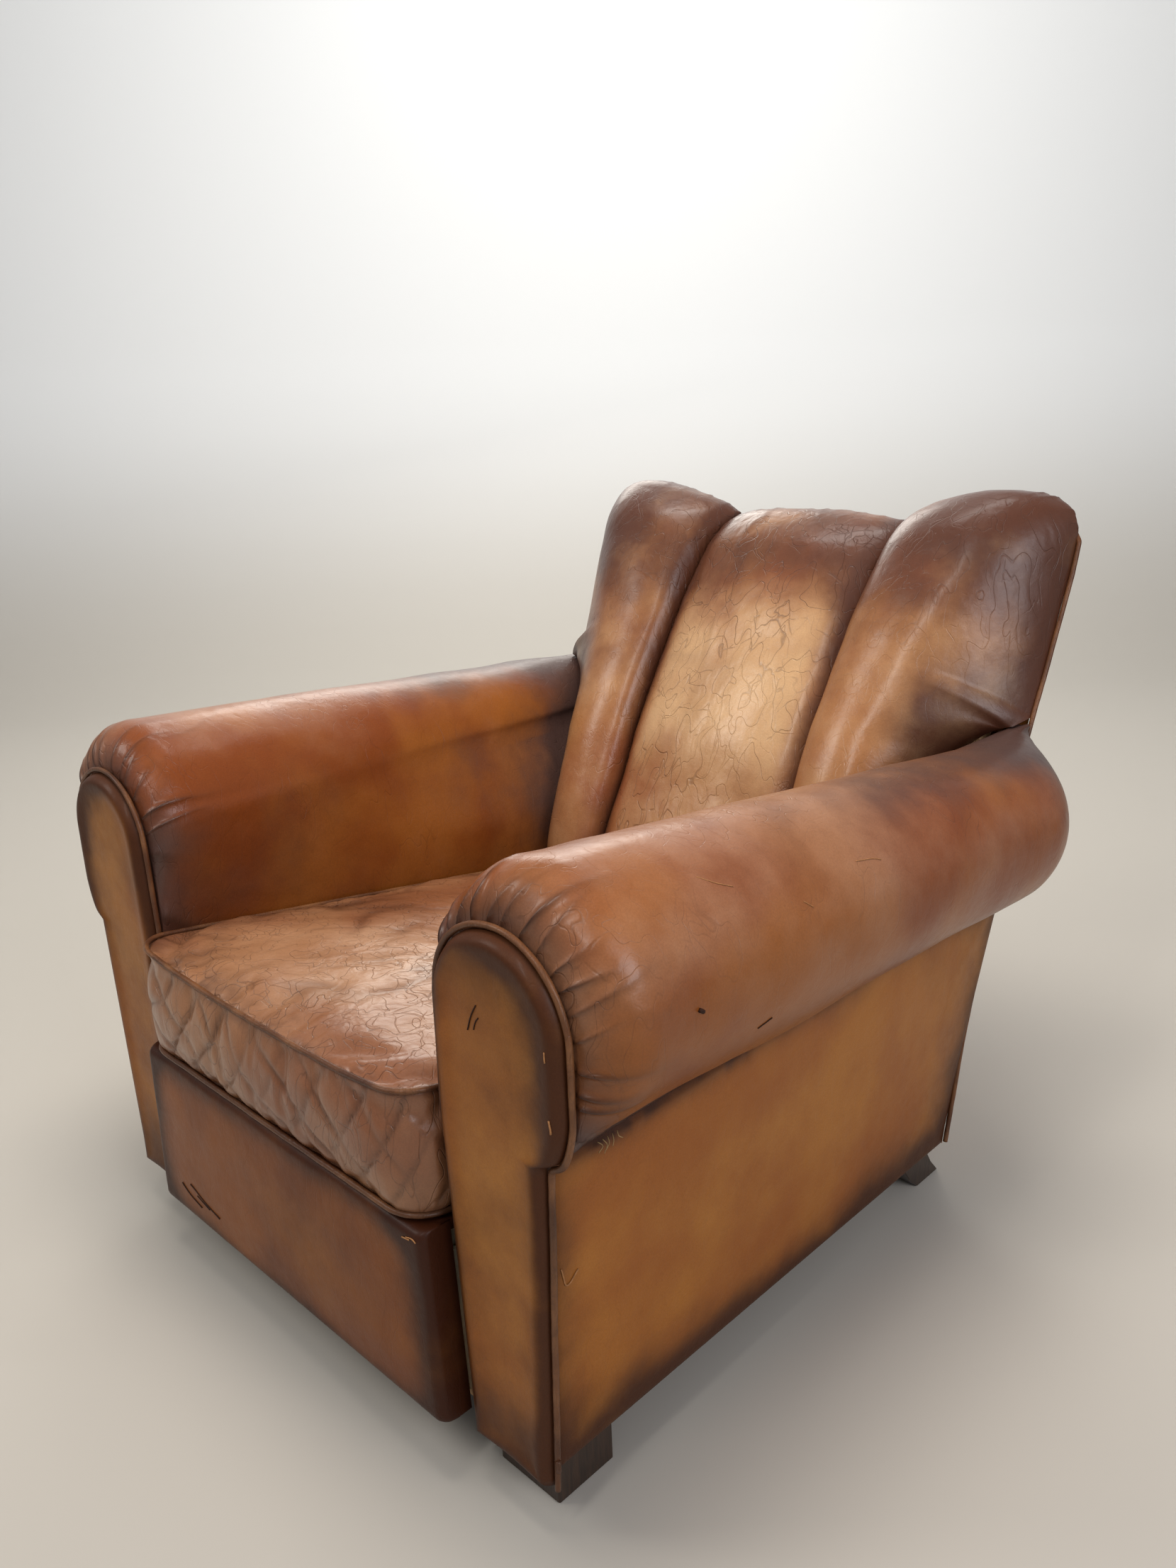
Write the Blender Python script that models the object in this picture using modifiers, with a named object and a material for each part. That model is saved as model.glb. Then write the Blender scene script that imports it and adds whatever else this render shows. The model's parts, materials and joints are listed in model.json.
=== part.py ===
"""Worn leather club chair: beech frame, sprung seat, rolled arms with pleated fronts,
a back of three flutes and one loose seat cushion. Metres, +Z up, the chair faces -Y.
Depths are measured from the plane of the arm fronts, and one empty at the end moves
the whole chair so that it stands centred over the world origin."""

import math

import bmesh
import bpy
from mathutils import Vector

# Thicknesses and clearances
LEATHER = 0.003
GAP = 0.0003
SOFT_GAP = 0.003
PAD_GAP = 0.0015
ARM_PAD_GAP = 0.004
ARM_PAD_FOOT = 0.030

# Body of the chair
DEPTH_CENTRE = 0.46747
BODY_BOTTOM_Z = 0.064
OUTSIDE_BOTTOM_X = 0.385
NOTCH_X = 0.399
NOTCH_Z = 0.396
PANEL_TOP_Z = 0.392
DECK_HALF_WIDTH = 0.2550

# Arm rolls, at the front and at the rear
ARM_DECK_CLEARANCE = 0.0055
ARM_INSIDE_X = DECK_HALF_WIDTH + ARM_DECK_CLEARANCE
ARM_COVER_BOTTOM_Z = 0.190
INSIDE_FLAT_TOP_Z = 0.440
ROLL_FRONT_X = 0.362
ROLL_FRONT_Z = 0.523
ROLL_FRONT_RADIUS = 0.118
ROLL_REAR_X = 0.405
ROLL_REAR_Z = 0.497
ROLL_REAR_RADIUS = 0.094
ROLL_FULL_Y = 0.055
ROLL_FIRST_Y = 0.085
ROLL_DOME_Y = 0.700
ARM_STEPS = 4
ROLL_END_ANGLE = -84.0
TUCK_ANGLE = -62.0
INSIDE_ARM_END_Y = 0.645
TUCKED_END = 0.012
DOME_TOP_ANGLE = 100.0
DOME_TOP_Z = 0.574
DOME_EDGE_X = 0.388
DOME_HIDDEN_DEPTH = 0.050

# Pleats around the arm fronts
PLEATS = 14
PLEAT_DEPTH = 0.0045
PLEAT_FADE = 40.0
STEPS_PER_PLEAT = 4
INSIDE_STEPS = 3
# (share of the way out to the full roll, growth over the facing, share of the pleats' depth)
FRONT_ROWS = ((0.12, 0.003, 0.25), (0.42, 0.003, 1.0), (0.72, 0.002, 1.0), (0.92, 0.0, 0.55),
              (1.0, 0.0, 0.15))
DOME_ROWS = (22.0, 44.0, 64.0, 80.0, 90.0)

# Arm facings and their welt
FACING_FRONT_Y = -0.010
FACING_BACK_Y = 0.006
FACING_BOTTOM_Z = 0.052
FACING_RIM = 0.006
ARCH_X = 0.348
ARCH_Z = 0.512
ARCH_RADIUS = 0.079
SHOULDER_Z = 0.455
FACING_MIDDLE_Z = (0.200, 0.300)
NOTCH_TURN = 0.012
FACING_INSIDE_X = 0.2665
FACING_INSIDE_BOTTOM_X = 0.2825
WELT_RADIUS = 0.003
WELT_Y = 0.0015

# Back: (height, depth) of its rear edge, and (depth, height, height of the rear edge)
# of each row across the inside back, from behind the cushion to over the top
REAR_EDGE = ((0.062, 0.690), (0.200, 0.722), (0.340, 0.765), (0.450, 0.800), (0.560, 0.838),
             (0.660, 0.888), (0.760, 0.935), (0.829, 0.958))
BACK_ROWS = ((0.622, 0.235, 0.235), (0.614, 0.285, 0.285), (0.622, 0.340, 0.335),
             (0.650, 0.400, 0.390), (0.685, 0.460, 0.450), (0.713, 0.520, 0.515),
             (0.748, 0.580, 0.578), (0.786, 0.640, 0.592), (0.826, 0.700, 0.665),
             (0.856, 0.738, 0.706), (0.884, 0.769, 0.744), (0.918, 0.793, 0.776),
             (0.946, 0.804, 0.790), (0.962, 0.806, 0.799), (0.968, 0.798, 0.803))
# (distance from the middle, height) of the rear top edge: the wings rise over the centre
TOP_EDGE = ((0.0, 0.800), (0.150, 0.798), (0.190, 0.809), (0.240, 0.820), (0.300, 0.832),
            (0.340, 0.835), (0.368, 0.824), (0.384, 0.803))
WING_LIFT_START_Z = 0.620
SEAM_X = 0.150
BACK_HALF_WIDTH = 0.384
CORNER_LINE = ((0.235, 0.236), (0.340, 0.240), (0.446, 0.250), (0.558, 0.258), (0.666, 0.288),
               (0.780, 0.334), (0.829, 0.350))
CENTRE_BULGE = 0.034
WING_BULGE = 0.046
BULGE_SHARE = ((0.235, 0.55), (0.340, 0.72), (0.460, 1.0), (0.770, 1.0), (0.793, 0.85),
               (0.804, 0.55), (0.806, 0.35))
# (share of the way from seam to corner, share of the bulge) across the front of a wing
WING_PROFILE = ((0.07, 0.55), (0.24, 0.88), (0.52, 1.0), (0.82, 0.86), (0.97, 0.56))
WING_CORNER_OUT = 0.010
FLANK_STEPS = 4
FLANK_BULGE = 0.012
FLANK_ARM_GAP = 0.005
FLUTE_STEPS = 8
CHANNEL_BOTTOM_Z = 0.305
CHANNEL_TOP_Z = 0.725
CHANNEL_SLACK = 0.004
CHANNEL_SEAM_SLACK = 0.012
# (share of the width, share of the bulge) across the stuffing of a flute
CHANNEL_PROFILE = ((0.0, 0.1), (0.22, 0.72), (0.5, 0.95), (0.78, 0.72), (1.0, 0.1))
OUTSIDE_BACK_BOW = 0.020
TOP_TURN = 0.005
TOP_WELT_DROP = 0.0075
WELT_BEHIND = 0.001
WELT_FOOT = 0.004

# Seat front, deck and cushion
SEAT_FRONT_Y = -0.0375
SEAT_SIDE_BACK_Y = -0.0018
SEAT_TOP_HALF = 0.262
SEAT_BOTTOM_HALF = 0.272
SEAT_BOTTOM_Z = 0.068
SEAT_EDGE_RADIUS = 0.010
SEAT_LIP_Y = 0.050
SEAT_LIP_DROP = 0.014
SEAT_TURN_UNDER = 0.026
SEAT_BOTTOM_TURN = 0.008
SEAT_BELLY = 0.001
SEAT_SIDE_EASE = 0.004
SEAT_MIDDLE_X = 0.120
SEAT_PAD_LIFT = 0.016
DECK_FRONT_Z = 0.272
DECK_SLOPE = 0.105
DECK_BACK_Y = 0.600
PAD_THICKNESS = 0.030
CUSHION_DECK_INSET = 0.0025
CUSHION_HALF_WIDTH = DECK_HALF_WIDTH - CUSHION_DECK_INSET
CUSHION_FRONT_Y = -0.034
CUSHION_BACK_Y = 0.574
CUSHION_THICKNESS = 0.124
CUSHION_BACK_THICKNESS = 0.108
CUSHION_CROWN = 0.024
CUSHION_CORNER_RADIUS = 0.040
CUSHION_CORNER_LIFT = 0.014
CUSHION_BULGE = 0.006
CUSHION_SEAM_INSET = 0.001
CUSHION_LOW_SEAM = 0.045
CUSHION_WELT_RADIUS = 0.003
CUSHION_WELT_RISE = 0.001
# insets under the cushion, (share of the bulge, share of the height) up its side, and
# (inset, share of the crown) over its top
CUSHION_UNDER = (0.100, 0.008)
CUSHION_SIDE = ((0.7, 0.30), (1.0, 0.62))
CUSHION_TOP = ((0.030, 0.42), (0.085, 0.80), (0.150, 1.0))

# Beech frame
FRAME_OUTSIDE_X = 0.381
RAIL_BOTTOM_Z = 0.070
RAIL_TOP_Z = 0.150
RAIL_THICKNESS = 0.038
FRONT_RAIL_TOP_Z = 0.185
FRONT_RAIL_THICKNESS = 0.030
ARM_POST_INSIDE_X = 0.286
ARM_POST_THICKNESS = 0.038
ARM_POST_TOP_Z = 0.545
BACK_POST_WIDTH = 0.036
BACK_FRAME_DEPTH = 0.028
BACK_FRAME_REAR = 0.0045
BACK_POST_TOP_Z = 0.785
TACKING_RAIL_BOTTOM_Z = 0.300
TACKING_RAIL_TOP_Z = 0.345
TOP_RAIL_BOTTOM_Z = 0.745
ARM_RAIL_BOTTOM_Z = 0.480
ARM_RAIL_TOP_Z = 0.515
INSIDE_RAIL_CLEARANCE = 0.0075
INSIDE_RAIL_X = ARM_INSIDE_X + INSIDE_RAIL_CLEARANCE
INSIDE_RAIL_WIDTH = 0.044
INSIDE_RAIL_BOTTOM_Z = 0.188
INSIDE_RAIL_TOP_Z = 0.218
CORNER_BLOCK_SIDE = 0.060
TIMBER_EDGE = 0.0015

# Webbing, springs and cloth
STRAP_WIDTH = 0.050
STRAP_THICKNESS = 0.0012
STRAP_TACK = 0.020
SPRING_X = (-0.165, 0.0, 0.165)
SPRING_Y = (0.140, 0.310, 0.480)
SPRING_WIRE = 0.0021
SPRING_END_RADIUS = 0.046
SPRING_WAIST_RADIUS = 0.028
SPRING_TURNS = 4
SPRING_STEPS = 8
SPRING_FLAT = 0.18
CLOTH_THICKNESS = 0.0015
DUST_COVER_LAP = 0.023

# Feet
FRONT_FOOT_WIDTH = 0.082
FRONT_FOOT_DEPTH = 0.074
FOOT_OUTSIDE_X = 0.367
FRONT_FOOT_Y = 0.020
REAR_FOOT_WIDTH = 0.062
REAR_FOOT_DEPTH = 0.060
REAR_FOOT_TOP_Y = 0.620
REAR_FOOT_SWEEP = 0.046
REAR_FOOT_CURVE = 1.6
REAR_FOOT_LEVELS = (1.0, 0.66, 0.33, 0.0)
REAR_FOOT_TAPER = 0.004

# Sub-part finishes: linear red, green and blue, then roughness
TAN = (0.40, 0.17, 0.06, 0.38)
BROWN = (0.23, 0.08, 0.035, 0.34)
DARK = (0.07, 0.028, 0.018, 0.42)
BEECH = (0.55, 0.36, 0.20, 0.60)
WENGE = (0.030, 0.017, 0.011, 0.45)
JUTE = (0.42, 0.31, 0.18, 0.90)
STUFFING = (0.62, 0.56, 0.46, 0.95)
CAMBRIC = (0.020, 0.020, 0.022, 0.90)
STEEL = (0.45, 0.44, 0.42, 0.35)

SIDES = ((1, "left"), (-1, "right"))


def clear_scene():
    """Remove the objects that a new file starts with."""
    for thing in list(bpy.data.objects):
        bpy.data.objects.remove(thing, do_unlink=True)


def start_chair():
    """Collection for the parts, and the empty that stands the chair over the origin."""
    collection = bpy.data.collections.new("club_chair")
    bpy.context.scene.collection.children.link(collection)
    origin = bpy.data.objects.new("chair_origin", None)
    origin.location = (0.0, -DEPTH_CENTRE, 0.0)
    collection.objects.link(origin)
    return collection, origin


clear_scene()
CHAIR, ORIGIN = start_chair()


# Making solids

def make_material(name, finish):
    """Principled material for one sub-part."""
    material = bpy.data.materials.new(name)
    material.use_nodes = True
    shader = material.node_tree.nodes["Principled BSDF"]
    shader.inputs["Base Color"].default_value = (*finish[:3], 1.0)
    shader.inputs["Roughness"].default_value = finish[3]
    shader.inputs["Metallic"].default_value = 1.0 if finish is STEEL else 0.0
    return material


def add_object(name, data, finish):
    """Link a mesh or a curve to the chair, with its own material."""
    data.materials.append(make_material(name, finish))
    thing = bpy.data.objects.new(name, data)
    thing.parent = ORIGIN
    CHAIR.objects.link(thing)
    return thing


def mesh_from(name, bm, recalc=True):
    """Turn a bmesh into a mesh, with the faces of a closed one pointing out."""
    if recalc:
        bmesh.ops.recalc_face_normals(bm, faces=bm.faces)
    mesh = bpy.data.meshes.new(name)
    bm.to_mesh(mesh)
    bm.free()
    mesh.shade_smooth()
    mesh.set_sharp_from_angle(angle=math.radians(35))
    return mesh


def ease_edges(thing):
    """Take the sharp arris off a timber."""
    edge = thing.modifiers.new("eased edges", "BEVEL")
    edge.width = TIMBER_EDGE
    edge.segments = 1


def box(name, low, high, finish, eased=True):
    """Squared timber or flat sheet between two corners."""
    bm = bmesh.new()
    bmesh.ops.create_cube(bm, size=1.0)
    size = Vector(high) - Vector(low)
    for vert in bm.verts:
        vert.co = Vector(low) + (vert.co + Vector((0.5, 0.5, 0.5))) * size
    thing = add_object(name, mesh_from(name, bm), finish)
    if eased:
        ease_edges(thing)
    return thing


def loft(name, rings, finish):
    """Closed solid through rings with the same number of points."""
    bm = bmesh.new()
    loops = [[bm.verts.new(point) for point in ring] for ring in rings]
    count = len(rings[0])
    for lower, upper in zip(loops, loops[1:]):
        for i in range(count):
            j = (i + 1) % count
            bm.faces.new((lower[i], lower[j], upper[j], upper[i]))
    bm.faces.new(loops[0])
    bm.faces.new(loops[-1])
    return add_object(name, mesh_from(name, bm), finish)


def sheet(name, rows, finish, flip=False):
    """Leather laid through rows of points and thickened to its inner side."""
    bm = bmesh.new()
    grid = [[bm.verts.new(point) for point in row] for row in rows]
    for near, far in zip(grid, grid[1:]):
        join_rows(bm, near, far, flip)
    thing = add_object(name, mesh_from(name, bm, recalc=False), finish)
    wall = thing.modifiers.new("leather", "SOLIDIFY")
    wall.thickness = LEATHER
    wall.offset = -1.0
    return thing


def join_rows(bm, near, far, flip):
    """Faces between two rows, of which the near one may be several times finer."""
    ratio = (len(near) - 1) // (len(far) - 1)
    half = ratio // 2
    for i in range(len(far) - 1):
        first = near[i * ratio:(i + 1) * ratio + 1]
        if ratio == 1:
            faces = [(first[0], first[1], far[i + 1], far[i])]
        else:
            faces = [(first[k], first[k + 1], far[i]) for k in range(half)]
            faces.append((first[half], far[i + 1], far[i]))
            faces += [(first[k], first[k + 1], far[i + 1]) for k in range(half, ratio)]
        for face in faces:
            bm.faces.new(face[::-1] if flip else face)


def cord(name, points, radius, finish, closed=False):
    """Welt or wire of round section along a line of points."""
    curve = bpy.data.curves.new(name, "CURVE")
    curve.dimensions = "3D"
    curve.bevel_depth = radius
    curve.bevel_resolution = 0 if finish is STEEL else 1
    curve.use_fill_caps = not closed
    spline = curve.splines.new("POLY")
    spline.points.add(len(points) - 1)
    for spot, point in zip(spline.points, points):
        spot.co = (*point, 1.0)
    spline.use_cyclic_u = closed
    return add_object(name, curve, finish)


def flat_piece(name, outline, low_z, high_z, finish):
    """Flat outline in the XY plane with a thickness."""
    curve = bpy.data.curves.new(name, "CURVE")
    curve.dimensions = "2D"
    curve.fill_mode = "BOTH"
    curve.extrude = 0.5 * (high_z - low_z)
    spline = curve.splines.new("POLY")
    spline.points.add(len(outline) - 1)
    for spot, (x, y) in zip(spline.points, outline):
        spot.co = (x, y, 0.0, 1.0)
    spline.use_cyclic_u = True
    thing = add_object(name, curve, finish)
    thing.location.z = 0.5 * (low_z + high_z)
    return thing


def mirrored(points, side):
    """Points of the +X side, moved to the side asked for."""
    return [(side * x, y, z) for x, y, z in points]


def blend(table, key):
    """Value of a table of (key, value) pairs, on straight lines between them."""
    if key <= table[0][0]:
        return table[0][1]
    for (key_a, value_a), (key_b, value_b) in zip(table, table[1:]):
        if key <= key_b:
            return value_a + (value_b - value_a) * (key - key_a) / (key_b - key_a)
    return table[-1][1]


def mix(start, end, share):
    """Number part of the way from start to end."""
    return start + (end - start) * share


# Shared lines of the body

def rear_y(z):
    """Depth of the rear edge of the body at a height."""
    return blend(REAR_EDGE, z)


def frame_front_y(z):
    """Front of the back frame's timbers at a height."""
    return rear_y(z) - BACK_FRAME_REAR - BACK_FRAME_DEPTH


def outside_x(z):
    """Outer face of the side panels at a height."""
    return mix(OUTSIDE_BOTTOM_X, NOTCH_X, (z - BODY_BOTTOM_Z) / (NOTCH_Z - BODY_BOTTOM_Z))


def deck_z(y):
    """Height of the sprung deck, which falls towards the back."""
    return DECK_FRONT_Z - DECK_SLOPE * y


def facing_inside_x(z):
    """Inner edge of an arm facing at a height."""
    line = ((FACING_BOTTOM_Z, FACING_INSIDE_BOTTOM_X), (NOTCH_Z, FACING_INSIDE_X),
            (ARCH_Z, ARCH_X - ARCH_RADIUS))
    return blend(line, z)


def seat_half_width(z):
    """Half width of the seat front at a height."""
    return blend(((SEAT_BOTTOM_Z, SEAT_BOTTOM_HALF), (DECK_FRONT_Z, SEAT_TOP_HALF)), z)


# Arm sections: a key of 0 is the bottom of the inside panel, INSIDE_STEPS the inner
# side of the roll, and INSIDE_STEPS + PLEATS the notch under the roll

def key_angle(key):
    """Angle on the roll, in degrees, for a key past the inside panel."""
    return mix(180.0, ROLL_END_ANGLE, (key - INSIDE_STEPS) / PLEATS)


def roll_at(y):
    """Centre x, centre z and radius of the roll at a depth."""
    share = (min(max(y, ROLL_FULL_Y), ROLL_DOME_Y) - ROLL_FULL_Y) / (ROLL_DOME_Y - ROLL_FULL_Y)
    return (mix(ROLL_FRONT_X, ROLL_REAR_X, share), mix(ROLL_FRONT_Z, ROLL_REAR_Z, share),
            mix(ROLL_FRONT_RADIUS, ROLL_REAR_RADIUS, share))


def arm_inside_x(y, z):
    """Inner face of the arm, flat below and then out around the roll."""
    x, centre_z, radius = roll_at(y)
    if z >= centre_z + radius:
        return BACK_HALF_WIDTH + FLANK_ARM_GAP
    if z >= centre_z:
        return x - math.sqrt(radius ** 2 - (z - centre_z) ** 2)
    return blend(((INSIDE_FLAT_TOP_Z, ARM_INSIDE_X), (centre_z, x - radius)), z)


def arm_section(key, y, grow=0.0):
    """Point (x, z) of the full arm section at a depth."""
    x, centre_z, radius = roll_at(y)
    if key < INSIDE_STEPS:
        height = mix(ARM_COVER_BOTTOM_Z, centre_z, key / INSIDE_STEPS)
        return arm_inside_x(y, height) - grow, height
    degrees = key_angle(key)
    angle = math.radians(degrees)
    ring_x = x + (radius + grow) * math.cos(angle)
    ring_z = centre_z + (radius + grow) * math.sin(angle)
    if degrees > TUCK_ANGLE:
        return ring_x, ring_z
    share = (degrees - TUCK_ANGLE) / (ROLL_END_ANGLE - TUCK_ANGLE)
    return (mix(ring_x, NOTCH_X - LEATHER, share),
            mix(ring_z, PANEL_TOP_Z + GAP - grow, share))


def facing_section(key, grow=0.0):
    """Point (x, z) of the facing's outline, for the same keys as the arm section."""
    if key < INSIDE_STEPS:
        height = mix(ARM_COVER_BOTTOM_Z, ARCH_Z, key / INSIDE_STEPS)
        return facing_inside_x(height) - grow, height
    degrees = key_angle(key)
    angle = math.radians(degrees)
    if degrees >= 0.0:
        return (ARCH_X + (ARCH_RADIUS + grow) * math.cos(angle),
                ARCH_Z + (ARCH_RADIUS + grow) * math.sin(angle))
    outer = ARCH_X + ARCH_RADIUS
    straight = ARCH_Z - SHOULDER_Z
    turn_length = 0.25 * math.pi * (SHOULDER_Z - NOTCH_Z + outer - NOTCH_X)
    travel = degrees / ROLL_END_ANGLE * (straight + turn_length)
    if travel <= straight:
        return outer + grow, ARCH_Z - travel
    turn = 0.5 * math.pi * (travel - straight) / turn_length
    return (NOTCH_X + (outer - NOTCH_X + grow) * math.cos(turn),
            SHOULDER_Z - (SHOULDER_Z - NOTCH_Z + grow) * math.sin(turn))


def front_row(lift, grow, pleat):
    """Row around the arm's front: lift 0 lies on the facing, lift 1 is the full roll."""
    start = FACING_BACK_Y + GAP
    y = start + (ROLL_FULL_Y - start) * (1.0 - math.sqrt(1.0 - min(lift, 1.0) ** 2))
    row = []
    for step in range((INSIDE_STEPS + PLEATS) * STEPS_PER_PLEAT + 1):
        key = step / STEPS_PER_PLEAT
        x, z = (mix(a, b, lift) for a, b in zip(facing_section(key, grow),
                                                arm_section(key, ROLL_FULL_Y)))
        if key > INSIDE_STEPS:
            angle = math.radians(key_angle(key))
            fade = min((key_angle(key) - ROLL_END_ANGLE) / PLEAT_FADE, 1.0)
            fold = fade * pleat * 0.5 * (1.0 - math.cos(2.0 * math.pi * (key - INSIDE_STEPS)))
            x -= fold * math.cos(angle)
            z -= fold * math.sin(angle)
        row.append((x, y, z))
    return row


def straight_row(step, grow=0.0):
    """Row of the long part of the arm, where the inside panel ends a little earlier."""
    y = mix(ROLL_FIRST_Y, ROLL_DOME_Y, step / ARM_STEPS)
    inside_y = mix(ROLL_FULL_Y, INSIDE_ARM_END_Y, (y - ROLL_FULL_Y) / (ROLL_DOME_Y - ROLL_FULL_Y))
    row = []
    for key in range(INSIDE_STEPS + PLEATS + 1):
        depth = inside_y if key < INSIDE_STEPS else y
        x, z = arm_section(key, depth, grow)
        row.append((x, depth, z))
    return row


def dome_row(degrees_in):
    """Row of the rounded rear end, which is tacked down along the body's rear edge."""
    turn = math.radians(degrees_in)
    row = []
    for key in range(INSIDE_STEPS + PLEATS + 1):
        if key < INSIDE_STEPS:
            depth = INSIDE_ARM_END_Y + TUCKED_END * math.sin(turn)
            x, z = arm_section(key, INSIDE_ARM_END_Y)
            row.append((x, depth, z))
            continue
        x, z = arm_section(key, ROLL_DOME_Y)
        angle = key_angle(key)
        hidden = max(angle - DOME_TOP_ANGLE, 0.0) / (180.0 - DOME_TOP_ANGLE)
        edge_z = blend(((ROLL_END_ANGLE, NOTCH_Z), (DOME_TOP_ANGLE, DOME_TOP_Z)), angle)
        end_z = mix(edge_z, z, math.sqrt(hidden))
        end_x = mix(DOME_EDGE_X, x, math.sqrt(hidden))
        end_y = rear_y(end_z) - 2 * LEATHER - hidden * DOME_HIDDEN_DEPTH
        row.append((mix(end_x, x, math.cos(turn)), mix(ROLL_DOME_Y, end_y, math.sin(turn)),
                    mix(end_z, z, math.cos(turn))))
    return row


def build_arm_cover(side, name):
    """Leather over the inside of the arm, its pleated front, the roll and its rear end."""
    rows = [front_row(0.0, -FACING_RIM, 0.0)]
    rows += [front_row(lift, grow, share * PLEAT_DEPTH) for lift, grow, share in FRONT_ROWS]
    rows += [straight_row(step) for step in range(ARM_STEPS + 1)]
    rows += [dome_row(degrees) for degrees in DOME_ROWS]
    sheet("arm_cover_" + name, [mirrored(row, side) for row in rows], BROWN, flip=side < 0)


def build_arm_pad(side, name):
    """Stuffing of the arm, laid over the arm rail."""
    rail_in = FRAME_OUTSIDE_X - RAIL_THICKNESS - GAP
    rail_out = FRAME_OUTSIDE_X + GAP
    rings = []
    for step in range(ARM_STEPS + 1):
        row = straight_row(step, -(LEATHER + ARM_PAD_GAP))
        y = row[-1][1]
        inner = [(rail_out, NOTCH_Z + ARM_PAD_FOOT), (rail_out, ARM_RAIL_TOP_Z + GAP),
                 (rail_in, ARM_RAIL_TOP_Z + GAP), (rail_in, NOTCH_Z),
                 (0.5 * (ARM_INSIDE_X + rail_in), row[1][2] + ARM_PAD_FOOT)]
        rings.append(mirrored(row[1:-1] + [(x, y, z) for x, z in inner], side))
    loft("arm_pad_" + name, rings, STUFFING)


def facing_outline(grow=0.0):
    """Outline of an arm facing, from its inner bottom corner over the arch and down."""
    bottom = FACING_BOTTOM_Z
    inner = [(facing_inside_x(z) - grow, z) for z in (bottom - grow, *FACING_MIDDLE_Z, NOTCH_Z)]
    arch = []
    for step in range(2 * PLEATS + 1):
        x, z = facing_section(INSIDE_STEPS + step / 2, grow)
        arch.append((x if z > SHOULDER_Z else max(x, outside_x(z) + grow), z))
    heights = (NOTCH_Z - NOTCH_TURN, *FACING_MIDDLE_Z[::-1], bottom - grow)
    outer = [(outside_x(z) + grow, z) for z in heights]
    return inner + arch + outer


def build_facing(side, name):
    """Padded flat panel that closes the arm's front, with a rounded rim, and its welt."""
    rings = []
    for y, grow in ((FACING_BACK_Y, 0.0), (FACING_FRONT_Y + FACING_RIM, 0.0),
                    (FACING_FRONT_Y + 0.3 * FACING_RIM, -0.3 * FACING_RIM),
                    (FACING_FRONT_Y, -FACING_RIM)):
        rings.append(mirrored([(x, y, z) for x, z in facing_outline(grow)], side))
    loft("arm_facing_" + name, rings, TAN)
    line = [(x, WELT_Y, z) for x, z in facing_outline(WELT_RADIUS + 2 * GAP)]
    line[0] = (line[1][0] + 0.004, WELT_Y, FACING_BOTTOM_Z + 0.004)
    line[-1] = (line[-1][0], WELT_Y, FACING_BOTTOM_Z + 0.004)
    cord("facing_welt_" + name, mirrored(line, side), WELT_RADIUS, DARK)


def build_side_panel(side, name):
    """Flat leather outside the arm, from the facing to the raked rear edge."""
    rows = []
    for z in (BODY_BOTTOM_Z, REAR_EDGE[1][0], REAR_EDGE[2][0], PANEL_TOP_Z):
        front = FACING_BACK_Y + GAP
        back = rear_y(z) - LEATHER - GAP
        rows.append(mirrored([(outside_x(z), mix(front, back, step / 3), z)
                              for step in range(4)], side))
    sheet("side_panel_" + name, rows, TAN, flip=side < 0)


# Back

def row_normal(index):
    """Direction in (depth, height) that a flute swells in, square to the seam line."""
    before = BACK_ROWS[max(index - 1, 0)]
    after = BACK_ROWS[min(index + 1, len(BACK_ROWS) - 1)]
    run, rise = after[0] - before[0], after[1] - before[1]
    length = math.hypot(run, rise)
    return -rise / length, run / length


def wing_lift(x, z):
    """How far the wings' rising top has lifted the leather, at a distance from the middle."""
    seam_z = blend(TOP_EDGE, SEAM_X)
    share = min(max((z - WING_LIFT_START_Z) / (seam_z - WING_LIFT_START_Z), 0.0), 1.0)
    return share * (blend(TOP_EDGE, x) - seam_z)


def flank_end(z):
    """Where a wing's flank ends: on the rear edge, or lower down tucked in beside the arm."""
    if z > ROLL_REAR_Z + ROLL_REAR_RADIUS:
        return Vector((BACK_HALF_WIDTH, rear_y(z) - 2 * LEATHER - GAP, z))
    y = frame_front_y(z) - LEATHER - SOFT_GAP
    return Vector((arm_inside_x(y, z) - FLANK_ARM_GAP, y, z))


def centre_points(index):
    """Half of the centre flute's row, from its middle to the seam."""
    y, z, _ = BACK_ROWS[index]
    normal = row_normal(index)
    swell = CENTRE_BULGE * blend(BULGE_SHARE, z)
    row = []
    for step in range(FLUTE_STEPS // 2 + 1):
        angle = 0.5 * math.pi * step / (FLUTE_STEPS // 2)
        out = swell * math.cos(angle)
        row.append((SEAM_X * math.sin(angle), y + normal[0] * out, z + normal[1] * out))
    return row


def wing_points(index):
    """One wing's row past the seam: front, rounded corner and flank to the rear edge."""
    y, z, rear_z = BACK_ROWS[index]
    normal = row_normal(index)
    swell = WING_BULGE * blend(BULGE_SHARE, z)
    corner = blend(CORNER_LINE, z)
    row = []
    for across, out in WING_PROFILE:
        x = mix(SEAM_X, corner + WING_CORNER_OUT, across)
        height = z + normal[1] * out * swell + wing_lift(x, z)
        row.append((x, y + normal[0] * out * swell, height))
    last = Vector(row[-1])
    rear = flank_end(rear_z)
    lifted = wing_lift(last.x, z) / wing_lift(last.x, BACK_ROWS[-1][1])
    for step in range(1, FLANK_STEPS + 1):
        share = step / FLANK_STEPS
        swell = FLANK_BULGE * math.sin(math.pi * share)
        row.append(tuple(last.lerp(rear, share) + Vector((swell, 0.0, lifted * swell))))
    return [(min(x, arm_inside_x(y, z) - FLANK_ARM_GAP), y, z) for x, y, z in row]


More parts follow.
